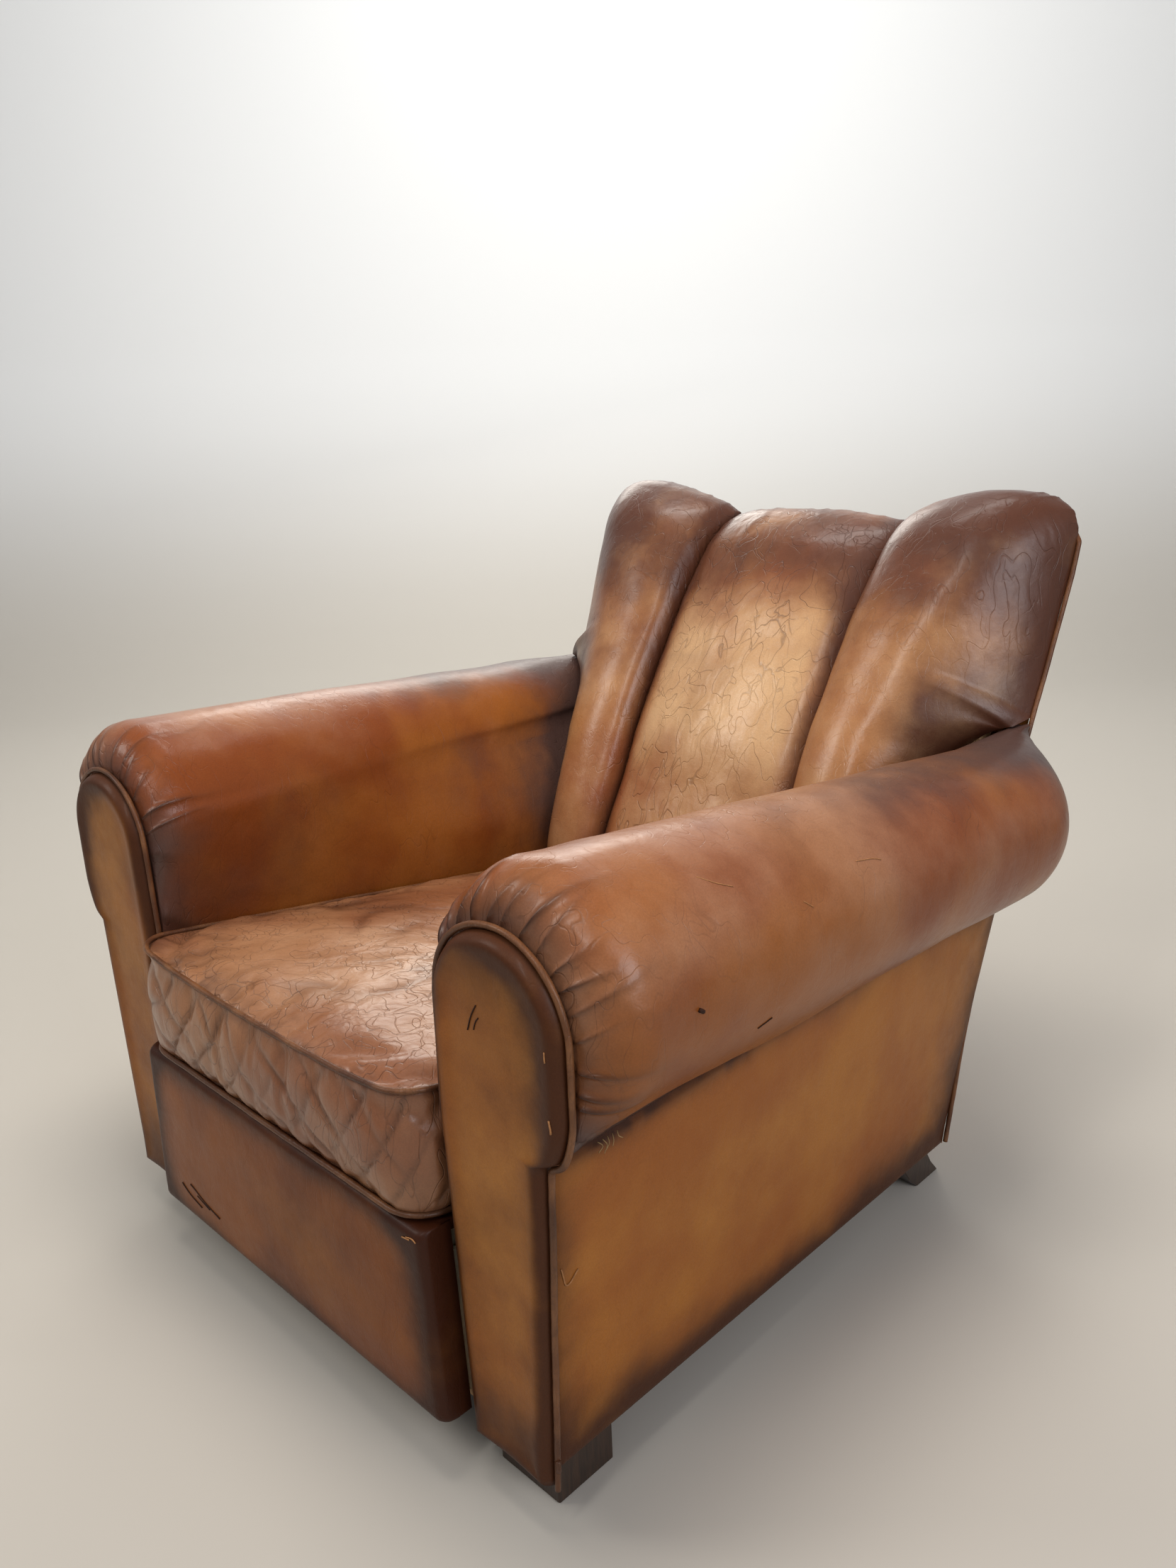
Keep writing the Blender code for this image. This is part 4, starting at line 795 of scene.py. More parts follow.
WING_FRONT = ((0.0, 0.0), (0.03, 0.34), (0.10, 0.66), (0.24, 0.90), (0.42, 1.0), (0.62, 0.99),
              (0.82, 0.88), (0.97, 0.56))
BACK_DETAIL = 11
FRAME_DEPTH, FRAME_GAP = 0.0325, 0.006
ARM_GAP, EDGE_GAP = 0.0028, 0.0010
REAR_BULGE = 0.020
CORNER_OUT, FLANK_ROUND = 0.010, 0.012
CENTRE_TURN, CENTRE_FULLNESS = 2.3, 0.62


def arm_inside_x(y, z):
    """Inner face of the arm beside the back."""
    x, centre, radius = roll_at(y)
    if z >= centre + radius:
        return BACK_HALF + 0.0008 + ARM_GAP
    if z >= centre:
        return x - math.sqrt(radius ** 2 - (z - centre) ** 2)
    return table(((ARM_FLAT_TOP_Z, ARM_INSIDE_X), (centre, x - radius)), z)


def flank_end(z):
    """End of a wing's flank: the rear edge, or lower down a tuck beside the arm."""
    if z > ROLL_REAR[1] + ROLL_REAR[2]:
        return np.array([BACK_HALF + 0.0008, rear_y(z) - EDGE_GAP, z])
    y = rear_y(z) - FRAME_DEPTH - FRAME_GAP
    return np.array([arm_inside_x(y, z) - ARM_GAP, y, z])


def top_edge(x):
    """Depth and height of the rear top edge across the back."""
    z = table(TOP_EDGE, np.abs(x))
    return rear_y(z) + REAR_BULGE * (1.0 - (x / BACK_HALF) ** 2), z


def wing_lift(x, z):
    """How far the wings' rising top has lifted the leather."""
    seam_z = table(TOP_EDGE, SEAM_X)
    share = np.clip((z - WING_LIFT_START_Z) / (seam_z - WING_LIFT_START_Z), 0.0, 1.0)
    return share * (table(TOP_EDGE, x) - seam_z)


print("height of the centre and the corner of the back:", top_edge(np.array([0.0, BACK_HALF]))[1])

# %% Points of half a back
CENTRE_COLUMNS, WING_COLUMNS, FLANK_COLUMNS = 56, 76, 32
CORNER_ROUNDS = 110


def rounded(line):
    """Line of points with its corner between front and flank softened."""
    count = np.arange(len(line))
    hold = (ease(count, 26, 44) * ease(-count, 3 - len(line), 16 - len(line)))[1:-1, None]
    for _ in range(CORNER_ROUNDS):
        line[1:-1] += 0.5 * hold * (0.5 * (line[:-2] + line[2:]) - line[1:-1])
    return line


def back_half():
    """Grid of half the back, from its middle over the seam and around the wing."""
    places = np.linspace(0.0, len(BACK_ROWS) - 1, (len(BACK_ROWS) - 1) * BACK_DETAIL + 1)
    rows = spline(BACK_ROWS, places)
    swell = spline(SWELL_SHARE[:, None], places)[:, 0]
    tangent = np.gradient(rows[:, :2], axis=0)
    tangent /= np.linalg.norm(tangent, axis=1, keepdims=True)
    grid = []
    for (y, z, rear_z), (run, rise), share in zip(rows, tangent, swell):
        t = np.sin(0.5 * math.pi * np.linspace(0.0, 1.0, CENTRE_COLUMNS))
        out = CENTRE_SWELL * share * (1.0 - t ** CENTRE_TURN) ** CENTRE_FULLNESS
        centre = np.stack([SEAM_X * t, y - rise * out, z + run * out], -1)
        corner = table(CORNER_LINE, z) + CORNER_OUT
        across, out = np.array(WING_FRONT).T
        x = mix(SEAM_X, corner, across)
        out = out * WING_SWELL * share
        front = np.stack([x, y - rise * out, z + run * out + wing_lift(x, z)], -1)
        lifted = wing_lift(front[-1, 0], z) / wing_lift(front[-1, 0], BACK_ROWS[-1, 1])
        end = flank_end(rear_z)
        step = np.arange(1, 5) / 4
        flank = mix(front[-1], end, step[:, None])
        round_out = FLANK_ROUND * np.sin(math.pi * step)
        flank += np.stack([round_out, 0 * step, lifted * round_out], -1)
        flank[:, 0] = [min(x, arm_inside_x(fy, fz) - ARM_GAP) for x, fy, fz in flank]
        steps = np.concatenate([7.0 * np.linspace(0.0, 1.0, WING_COLUMNS) ** 1.25,
                                7.0 + 4.0 * np.linspace(0.0, 1.0, FLANK_COLUMNS)[1:]])
        wing = rounded(spline(np.concatenate([front, flank]), steps))
        grid.append(np.concatenate([centre, wing[1:]]))
    points = np.array(grid)
    edge_y, edge_z = top_edge(points[-1, :, 0])
    points[..., 1] = np.minimum(points[..., 1], top_edge(points[..., 0])[0] - EDGE_GAP)
    points[-1, :, 1], points[-1, :, 2] = edge_y, edge_z
    turn = BACK_DETAIL
    start = points[-turn - 1].copy()
    for row in range(1, turn):
        angle = 0.5 * math.pi * row / turn
        points[row - turn - 1, :, 1] = mix(start[:, 1], edge_y, math.sin(angle))
        points[row - turn - 1, :, 2] = mix(edge_z, start[:, 2], math.cos(angle))
    return points


HALF_BACK = back_half()
print("half back grid:", HALF_BACK.shape)

# %% Creases, patina and the back cover
TOP_GATHERS, SEAM_PUCKERS = 40, 22
TOP_PLEATS = {"deep": 0.0024, "long": 0.055, "wide": 0.0022, "puff": 0.0006}
SEAM_PLEATS = {"deep": 0.0016, "long": 0.022, "wide": 0.0016, "puff": 0.0004}


def build_back_cover():
    """Whole inside back, creased most in its centre flute."""
    points = np.concatenate([HALF_BACK[:, :0:-1] * (-1, 1, 1), HALF_BACK], axis=1)
    middle = HALF_BACK.shape[1] - 1
    seam = CENTRE_COLUMNS - 1
    normal = grid_normals(points) * -1.0
    x, z = points[..., 0], points[..., 2]
    around = run_length(points, 1)
    seams = np.minimum(np.abs(around - around[:, [middle - seam]]),
                       np.abs(around - around[:, [middle + seam]]))
    rear = np.minimum(around, around[:, -1:] - around)
    from_top = run_length(points[::-1], 0)[::-1]
    centre = ease(-np.abs(x), -SEAM_X, -0.10)
    draw = np.random.default_rng(77)
    places = around - around[:, [middle]]
    starts = np.linspace(-0.46, 0.46, TOP_GATHERS) + draw.uniform(-0.006, 0.006, TOP_GATHERS)
    pleats = gather(places, from_top, starts, draw, **TOP_PLEATS)
    beside = np.minimum(from_top, 0.5)
    puckers = 0.0
    for line in (middle - seam, middle + seam):
        spots = (np.linspace(0.03, 0.46, SEAM_PUCKERS)
                 + draw.uniform(-0.006, 0.006, SEAM_PUCKERS))
        puckers = puckers + gather(beside, np.abs(around - around[:, [line]]), spots, draw,
                                   **SEAM_PLEATS)
    puckers = puckers * ease(seams, 0.0, 0.004)
    soft = 0.0024 * lumps(points, 0.14, 65) + 0.0007 * lumps(points, 0.05, 66)
    broad = creases(points, 0.10, 0.10, 61, (0.8, 1.0, 1.6), 0.6)
    free = ease(seams, 0.002, 0.035) * ease(rear, 0.0, 0.03) * ease(from_top, 0.0, 0.03)
    depth = (soft - 0.0008 * centre * broad) * free - puckers
    depth -= pleats * ease(rear, 0.0, 0.02)
    points = points + normal * depth[..., None]
    high = ease(z, 0.60, 0.83)
    foot = ease(np.abs(x), 0.24, 0.31) * ease(-z, -0.70, -0.60)
    valley = fall(seams, 0.020, 1.3)
    edge = fall(rear, 0.045, 1.4)
    wing = ease(np.abs(x), 0.20, 0.33)
    patina = (0.72 * high + 0.90 * valley + 0.50 * edge + 0.26 * lumps(points, 0.18, 67)
              + 0.20 * wing * (0.5 + high) + 0.70 * foot + 0.10 * (1 - centre))
    crease = (0.12 * centre * broad + np.clip(pleats / 0.004, 0, 1) * 0.6
              + np.clip(puckers / 0.003, 0, 1) * 0.7 + 0.75 * fall(seams, 0.0040))
    # The centre term is partly rubbed wear and partly a painted highlight down the middle flute.
    light = (centre * (0.85 * ease(-z, -0.78, -0.62) - 0.35 * ease(-z, -0.62, -0.48))
             + 0.30 * (1 - centre) * (1 - high) * ease(seams, 0.015, 0.05) * (1 - edge)
             + 0.14 * lumps(points, 0.10, 69))
    wrinkled = (centre * (0.75 + 0.3 * lumps(points, 0.10, 70))
                + (1 - centre) * 0.18 + 0.5 * valley + 0.4 * high * ease(from_top, 0.0, 0.05))
    marks = np.stack([patina, crease, light, wrinkled], -1)
    grid_piece("back_leather", points, marks, TAN_HIDE,
               flip=True, replaces=("back_cover",))


build_back_cover()

# %% [markdown]
# ## Outside back
# The rear of the chair is one plain panel, tacked under the piping. It is never touched,
# so it keeps an even colour with a soft sag.


# %% Outside back panel
REAR_ROWS, REAR_COLUMNS = 110, 120
BELOW_TOP_EDGE = 0.0050


def build_outside_back():
    """Plain rear panel inside the back's piping."""
    heights = np.linspace(0.0, 1.0, REAR_ROWS)[:, None]
    across = np.linspace(-1.0, 1.0, REAR_COLUMNS)[None, :]
    x = across * (BACK_HALF - 0.0006) + 0 * heights
    top = top_edge(x)[1] - BELOW_TOP_EDGE
    z = mix(BODY_BOTTOM_Z, top, heights)
    y = rear_y(z) + REAR_BULGE * (1.0 - (x / BACK_HALF) ** 2)
    points = np.stack([x, y, z], -1)
    edge = np.minimum.reduce([BACK_HALF - np.abs(x), z - BODY_BOTTOM_Z, top - z])
    sag = 0.0020 * lumps(points, 0.20, 71) + 0.0006 * lumps(points, 0.06, 72)
    points[..., 1] += sag * ease(edge, 0.0, 0.05)
    patina = (0.35 * fall(edge, 0.03, 1.3) + 0.22 * lumps(points, 0.20, 73)
              + 0.35 * ease(z, 0.55, 0.80) + 0.14)
    marks = np.stack([patina, 0.0 * z, 0.15 * lumps(points, 0.12, 75) + 0.10,
                      0.12 + 0.10 * lumps(points, 0.12, 76)], -1)
    grid_piece("outside_back_leather", points, marks, OCHRE_HIDE,
               flip=False, replaces=("outside_back",))


build_outside_back()

# %% [markdown]
# ## Seat front
# The padded panel below the cushion is a shallow box with soft edges. The knees and
# heels of many sitters have rubbed its top corner and scratched its lower edge.

# %% Seat front panel
SEAT_FRONT_Y = -0.0375
SEAT_HALF = ((0.068, 0.272), (0.272, 0.262))
DECK_FRONT_Z, DECK_SLOPE = 0.272, 0.105
SEAT_FOOT_Z, FOOT_ROUND, TOP_ROUND, END_ROUND = 0.068, 0.008, 0.011, 0.010
DECK_LEATHER = 0.0033
OVER_HALF = 0.2583
FACE_COLUMNS = 122


def deck_z(y):
    """Height of the sprung deck, which falls towards the back."""
    return DECK_FRONT_Z - DECK_SLOPE * y


def build_seat_front():
    """Front panel, turned under at its foot and back over the deck at its top."""
    radius = TOP_ROUND
    top = deck_z(SEAT_FRONT_Y) + DECK_LEATHER
    profile = [(SEAT_FRONT_Y + 0.026, SEAT_FOOT_Z), (SEAT_FRONT_Y + 0.009, SEAT_FOOT_Z)]
    for degrees in (30, 60, 90):
        angle = math.radians(degrees)
        profile.append((SEAT_FRONT_Y + FOOT_ROUND * (1 - math.sin(angle)),
                        SEAT_FOOT_Z + FOOT_ROUND * (1 - math.cos(angle))))
    profile += [(SEAT_FRONT_Y, z) for z in np.linspace(0.080, top - radius, 44)]
    for degrees in (15, 30, 45, 60, 75, 90):
        angle = math.radians(degrees)
        profile.append((SEAT_FRONT_Y + radius * (1 - math.cos(angle)),
                        top - radius * (1 - math.sin(angle)) - DECK_SLOPE * radius * angle / 1.57))
    profile += [(y, deck_z(y) + DECK_LEATHER) for y in np.linspace(SEAT_FRONT_Y + 0.018, 0.05, 14)]
    corner = END_ROUND
    rows = []
    for y, z in profile:
        half = table(SEAT_HALF, z)
        over = y > SEAT_FRONT_Y + 2 * radius and z > 0.2
        half = OVER_HALF if over else half
        right = []
        if over:
            right = [(half, y, z - 0.012), (half, y, z - 0.004)]
            right += [(half - 0.004, y, z)] + [(half - 0.006 - 0.001 * k, y, z) for k in range(5)]
        else:
            side_y = max(-0.0018, y + 0.004)
            right = [(half, side_y, z), (half, mix(y + corner, side_y, 0.5), z)]
            for degrees in (0, 18, 36, 54, 72, 90):
                angle = math.radians(degrees)
                right.append((half - corner * (1 - math.cos(angle)),
                              min(y + corner * (1 - math.sin(angle)), side_y), z))
        inner = right[-1][0]
        flat = [(x, y, z) for x in np.linspace(inner, -inner, FACE_COLUMNS)[1:-1]]
        rows.append(right + flat + [(-x, b, c) for x, b, c in right[::-1]])
    points = np.array(rows)
    x, z = points[..., 0], points[..., 2]
    face = ease(-points[..., 1], -SEAT_FRONT_Y - 0.002, -SEAT_FRONT_Y)
    belly = 0.0032 * ease(z, 0.07, 0.13) * ease(-z, -0.28, -0.20) * ease(-np.abs(x), -0.26, -0.17)
    soft = 0.0011 * lumps(points, 0.11, 81) + 0.0004 * lumps(points, 0.035, 82)
    points[..., 1] -= face * (belly + soft)
    edges = fall(0.275 - z, 0.020) + fall(z - SEAT_FOOT_Z, 0.018)
    ends = fall(table(SEAT_HALF, z) - np.abs(x), 0.034)
    patina = 0.55 * edges + 0.85 * ends + 0.22 * lumps(points, 0.16, 84) + 0.16
    light = 0.45 * fall(x - 0.08, 0.17) * fall(z - 0.18, 0.07)
    marks = np.stack([patina, 0.0 * z, light + 0.12 * lumps(points, 0.10, 85),
                      0.14 + 0.12 * lumps(points, 0.10, 86)], -1)
    grid_piece("seat_front_leather", points, marks, RUSSET_HIDE,
               flip=False, replaces=("seat_front_cover",))


build_seat_front()

# %% [markdown]
# ## Seat cushion
# The cushion is a separate boxed case: a top, a bottom and a border, with piping in both
# seams. It starts as a slightly slack box of leather. A cloth simulation blows it up
# against its pinned seams, as its filling does, and then the creases of use are added.

# %% Shape of the cushion
CUSHION_HALF_X, CUSHION_FRONT_Y, CUSHION_BACK_Y = 0.2525, -0.034, 0.574
CUSHION_THICK_FRONT, CUSHION_THICK_BACK = 0.124, 0.108
CUSHION_CROWN, CUSHION_CORNER, CUSHION_LIFT = 0.024, 0.040, 0.014
CUSHION_CELLS = (72, 84, 18)
CUSHION_PRESSED_X = 0.2590
CUSHION_SEAT_GAP, SEAM_LIFT = 0.0039, 0.045


def box_grid(cells):
    """Points on a unit box and its faces, with a regular grid on every side."""
    bm = bmesh.new()
    counts = dict(zip("xyz", cells))
    for axis_a, axis_b, fixed in (("x", "y", "z"), ("y", "z", "x"), ("z", "x", "y")):
        for level, flip in ((1.0, False), (-1.0, True)):
            verts = {}
            for i in range(counts[axis_a] + 1):
                for j in range(counts[axis_b] + 1):
                    spot = {axis_a: 2.0 * i / counts[axis_a] - 1.0,
                            axis_b: 2.0 * j / counts[axis_b] - 1.0, fixed: level}
                    verts[i, j] = bm.verts.new((spot["x"], spot["y"], spot["z"]))
            for i in range(counts[axis_a]):
                for j in range(counts[axis_b]):
                    face = [verts[i, j], verts[i + 1, j], verts[i + 1, j + 1], verts[i, j + 1]]
                    bm.faces.new(face[::-1] if flip else face)
    bmesh.ops.remove_doubles(bm, verts=bm.verts, dist=0.0001)
    bm.verts.index_update()
    points = np.array([vert.co[:] for vert in bm.verts])
    faces = [[vert.index for vert in face.verts] for face in bm.faces]
    bm.free()
    return points, faces


def cushion_place(unit):
    """Where the points of the unit box lie on the cushion."""
    half_y = 0.5 * (CUSHION_BACK_Y - CUSHION_FRONT_Y)
    centre_y = 0.5 * (CUSHION_BACK_Y + CUSHION_FRONT_Y)
    level = 0.5 * (unit[:, 2] + 1.0)
    inset = 0.001 + 0.007 * np.clip(1.0 - level / SEAM_LIFT, 0.0, 1.0) - 0.004 * np.sin(
        math.pi * np.clip(level, 0.0, 1.0))
    x = unit[:, 0] * (CUSHION_HALF_X - inset)
    y = unit[:, 1] * (half_y - inset)
    over_x = np.maximum(np.abs(x) - (CUSHION_HALF_X - CUSHION_CORNER), 0.0)
    over_y = np.maximum(np.abs(y) - (half_y - CUSHION_CORNER), 0.0)
    far = np.hypot(over_x, over_y)
    pull = np.where(far > 0, np.maximum(over_x, over_y) / np.maximum(far, 1e-9), 1.0)
    x = np.sign(x) * (np.minimum(np.abs(x), CUSHION_HALF_X - CUSHION_CORNER) + over_x * pull)
    y = np.sign(y) * (np.minimum(np.abs(y), half_y - CUSHION_CORNER) + over_y * pull) + centre_y
    back = (y - CUSHION_FRONT_Y) / (CUSHION_BACK_Y - CUSHION_FRONT_Y)
    lift = CUSHION_LIFT * level * np.abs(x / CUSHION_HALF_X) ** 3 * (1.0 - back)
    crown = CUSHION_CROWN * (1 - np.abs(unit[:, 0]) ** 2.4) * (1 - np.abs(unit[:, 1]) ** 2.6)
    height = mix(CUSHION_THICK_FRONT, CUSHION_THICK_BACK, back) * level
    z = deck_z(y) + CUSHION_SEAT_GAP + height + lift + np.where(unit[:, 2] > 0.999, crown, 0.0)
    return np.stack([x, y, z], -1)


CUSHION_UNIT, CUSHION_FACES = box_grid(CUSHION_CELLS)
print("cushion faces:", len(CUSHION_FACES))

# %% Blow up the cushion with cloth
CLOTH_FRAMES = 20
CLOTH_CAP = 0.010
CLOTH_SETTINGS = {"quality": 5, "mass": 0.4, "tension_stiffness": 12.0,
                  "compression_stiffness": 12.0, "bending_stiffness": 0.6,
                  "use_pressure": True, "uniform_pressure_force": 4.0, "shrink_min": -0.035,
                  "vertex_group_mass": "seams"}


def inflate(points, faces, pinned):
    """Cloth with pressure inside, held along its pinned seams."""
    mesh = bpy.data.meshes.new("cushion_cloth")
    mesh.from_pydata(points.tolist(), [], faces)
    thing = add_object("cushion_cloth", mesh)
    group = thing.vertex_groups.new(name="seams")
    for index in np.flatnonzero(pinned):
        group.add([int(index)], 1.0, "REPLACE")
    cloth = thing.modifiers.new("cloth", "CLOTH")
    for setting, value in CLOTH_SETTINGS.items():
        setattr(cloth.settings, setting, value)
    cloth.settings.effector_weights.gravity = 0.0
    cloth.point_cache.frame_start = 1
    cloth.point_cache.frame_end = CLOTH_FRAMES
    for step in range(1, CLOTH_FRAMES + 1):
        bpy.context.scene.frame_set(step)
    shaped = thing.evaluated_get(bpy.context.evaluated_depsgraph_get())
    result = np.empty(len(points) * 3)
    shaped.data.vertices.foreach_get("co", result)
    bpy.context.scene.frame_set(1)
    bpy.data.objects.remove(thing, do_unlink=True)
    bpy.data.meshes.remove(mesh)
    moved = result.reshape(-1, 3) - points
    length = np.linalg.norm(moved, axis=1, keepdims=True)
    return points + moved * np.minimum(1.0, CLOTH_CAP / np.maximum(length, 1e-9))


def cushion_form():
    """Cushion points before the creases."""
    points = cushion_place(CUSHION_UNIT)
    rim = np.maximum(np.abs(CUSHION_UNIT[:, 0]), np.abs(CUSHION_UNIT[:, 1])) > 0.999
    pinned = (rim & (np.abs(CUSHION_UNIT[:, 2]) > 0.999)) | (CUSHION_UNIT[:, 2] < -0.999)
    return inflate(points, CUSHION_FACES, pinned)


CUSHION_POINTS = cushion_form()
print("cushion moved at most",
      np.abs(CUSHION_POINTS - cushion_place(CUSHION_UNIT)).max().round(4), "m")

# %% [markdown]
# The simulated mesh is subdivided once, and then creased. On the border the leather has
# buckled into two families of slanting lines that cross like a net. The top has long
# soft folds that run from the front corner to the middle, and a web of fine cracks.


# %% Creases of the cushion
def mesh_normals(points, faces):
    """Unit normals of the points of a mesh."""
    corners = np.asarray(faces)
    face = np.cross(points[corners[:, 2]] - points[corners[:, 0]],
                    points[corners[:, 3]] - points[corners[:, 1]])
    normal = np.zeros_like(points)
    for column in range(4):
        np.add.at(normal, corners[:, column], face)
    return normal / np.maximum(np.linalg.norm(normal, axis=1, keepdims=True), 1e-12)


def subdivide(points, unit, faces):
    """One round of smooth subdivision, with the box places carried along."""
    mesh = bpy.data.meshes.new("cushion_fine")
    mesh.from_pydata(points.tolist(), [], faces)
    places = mesh.attributes.new("box_place", "FLOAT_VECTOR", "POINT")
    places.data.foreach_set("vector", unit.astype(np.float32).ravel())
    thing = add_object("cushion_fine", mesh)
    thing.modifiers.new("finer", "SUBSURF").levels = 1
    shaped = thing.evaluated_get(bpy.context.evaluated_depsgraph_get()).to_mesh()
    count = len(shaped.vertices)
    fine, box = np.empty(count * 3), np.empty(count * 3)
    shaped.vertices.foreach_get("co", fine)
    shaped.attributes["box_place"].data.foreach_get("vector", box)
    new_faces = [list(face.vertices) for face in shaped.polygons]
    bpy.data.objects.remove(thing, do_unlink=True)
    bpy.data.meshes.remove(mesh)
    return fine.reshape(-1, 3), box.reshape(-1, 3), new_faces


def slanted(points, degrees):
    """Points turned in the plane of the border, for slanting creases."""
    angle = math.radians(degrees)
    run = points[:, 0] + points[:, 1]
    return np.stack([run * math.cos(angle) + points[:, 2] * math.sin(angle),
                     points[:, 1] * 0.0,
                     points[:, 2] * math.cos(angle) - run * math.sin(angle)], -1)


def crossed(points, degrees, spacing, seed):
    """One family of slanting crease lines on the border, uneven in place and strength."""
    turned = slanted(points, degrees)[:, 2] / spacing + 0.42 * lumps(points, 0.11, seed)
    near = np.abs(turned - np.round(turned))
    strength = np.clip(0.62 + 0.75 * lumps(points, 0.07, seed + 20), 0.0, 1.0)
    return strength * fall(near, 0.075, 1.3)


def build_cushion():
    """Worn boxed cushion."""
    points, unit, faces = subdivide(CUSHION_POINTS, CUSHION_UNIT, CUSHION_FACES)
    normal = mesh_normals(points, faces)
    level = 0.5 * (unit[:, 2] + 1.0)
    top = ease(unit[:, 2], 0.985, 1.0) * ease(normal[:, 2], 0.3, 0.7)
    border = 1.0 - np.clip(ease(np.abs(unit[:, 2]), 0.97, 1.0), 0, 1)
    bottom = ease(-unit[:, 2], 0.97, 1.0)
    rim = np.minimum(1.0 - np.abs(unit[:, 0]), 1.0 - np.abs(unit[:, 1])) * 0.26
    net = np.maximum(crossed(points, 50, 0.046, 91), crossed(points, -46, 0.052, 92))
    folds = creases(slanted(points[:, [0, 2, 1]], 35), 0.085, 0.18, 94, (1.0, 1.0, 3.2), 0.5)
    cross = creases(slanted(points[:, [0, 2, 1]], -40), 0.060, 0.13, 95, (1.0, 1.0, 2.4), 0.5)
    puckers = creases(points, 0.016, 0.30, 96) * fall(rim, 0.020, 1.5)
    soft = 0.0030 * lumps(points, 0.11, 97) + 0.0010 * lumps(points, 0.04, 98)
    depth = (top * (soft * ease(rim, 0.0, 0.03) - 0.0024 * folds * ease(rim, 0.0, 0.05)
                    - 0.0010 * cross - 0.0010 * puckers)
             + border * ease(level, 0.04, 0.18) * ease(-level, -0.97, -0.85)
             * (0.8 * soft - 0.0034 * net))
    points = points + normal * (depth * (1.0 - bottom))[:, None]
    points[:, 0] = np.clip(points[:, 0], -CUSHION_PRESSED_X, CUSHION_PRESSED_X)
    edge = (fall(1.0 - level, 0.05) + fall(level, 0.07)) * border
    corner = ease(np.abs(unit[:, 0]), 0.80, 1.0) * ease(-unit[:, 1], 0.80, 1.0)
    back = ease(unit[:, 1], 0.3, 1.0)
    side = ease(np.abs(unit[:, 0]), 0.55, 1.0)
    patina = (0.40 * edge + 0.25 * corner + 0.32 * back * top + 0.16 * side * top
              + 0.14 * lumps(points, 0.17, 99) + 0.12 * top * fall(rim, 0.05) + 0.04)
    crease = top * (0.46 * folds + 0.34 * cross + 0.4 * puckers) + border * 0.60 * net
    # Lighter middle of the top: rubbed wear, with a painted sheen.
    light = (0.75 * top * fall(points[:, 0] - 0.02, 0.15) * fall(points[:, 1] - 0.15, 0.17)
             + 0.12 * border * (1 - edge) + 0.14 * lumps(points, 0.09, 101))
    wrinkled = top * (0.85 + 0.3 * lumps(points, 0.09, 102)) + border * 0.65
    marks = np.stack([patina, crease, light, wrinkled], -1)
    piece = make_piece("seat_cushion_leather", points, faces, marks, SEAT_HIDE,
                       replaces=("seat_cushion",))
    print("seat cushion faces:", len(faces))


build_cushion()

# %% [markdown]
# ## Piping
# Every seam of the outline is finished with piping: a cord in a strip of leather, about
# 6 mm thick. It takes the most rubbing, so it is darker along small creases and patchy in
# colour. Real piping is not perfectly even, so its line wavers by half a millimetre.

# %% Piping
PIPE_RADIUS = 0.0030
PIPE_STEP = 0.0028


def build_piping(name, line, replaces=(), closed=False, radius=PIPE_RADIUS, sides=10,
                 material=WELT_HIDE):
    """Tube of leather along a line of points, with small knuckles where it was stitched."""
    line = np.asarray(line, float)
    if closed:
        line = np.concatenate([line, line[:1]])
    lengths = np.concatenate([[0.0], np.cumsum(np.linalg.norm(np.diff(line, axis=0), axis=1))])
    count = max(int(lengths[-1] / PIPE_STEP), 6)
    spots = np.linspace(0.0, lengths[-1], count + 1)
    path = np.stack([np.interp(spots, lengths, line[:, axis]) for axis in range(3)], -1)
    path[1:-1] = 0.25 * path[:-2] + 0.5 * path[1:-1] + 0.25 * path[2:]
    if closed:
        path = path[:-1]
    tangent = np.roll(path, -1, 0) - np.roll(path, 1, 0)
    if not closed:
        tangent[0], tangent[-1] = path[1] - path[0], path[-1] - path[-2]
    tangent /= np.linalg.norm(tangent, axis=1, keepdims=True)
    side = np.cross(tangent, np.tile((0.31, 0.52, 0.79), (len(path), 1)))
    side /= np.linalg.norm(side, axis=1, keepdims=True)
    other = np.cross(tangent, side)
    wave = 1.0 + 0.06 * lumps(path, 0.012, 111) + 0.05 * lumps(path, 0.05, 112)
    path = path + 0.0004 * np.stack([lumps(path, 0.05, 113 + axis) for axis in range(3)], -1)
    angles = np.linspace(0.0, 2.0 * math.pi, sides + 1)[:-1]
    ring = (np.cos(angles)[None, :, None] * side[:, None] + np.sin(angles)[None, :, None]
            * other[:, None]) * (radius * wave)[:, None, None]
    points = (path[:, None] + ring).reshape(-1, 3)
    steps = len(path) if closed else len(path) - 1
    faces = [[a * sides + b, a * sides + (b + 1) % sides,
              (a + 1) % len(path) * sides + (b + 1) % sides, (a + 1) % len(path) * sides + b]
             for a in range(steps) for b in range(sides)]
    if not closed:
        faces += [list(range(sides))[::-1],
                  [(len(path) - 1) * sides + b for b in range(sides)]]
    patina = 0.35 + 0.3 * lumps(points, 0.06, 115)
    marks = np.stack([patina, 0.35 * creases(points, 0.008, 0.2, 116),
                      0.25 + 0.3 * lumps(points, 0.03, 117), 0.4 + 0.0 * patina], -1)
    make_piece(name, points, faces, marks, material, replaces)
    print(name, "length", round(float(lengths[-1]), 3), "m")


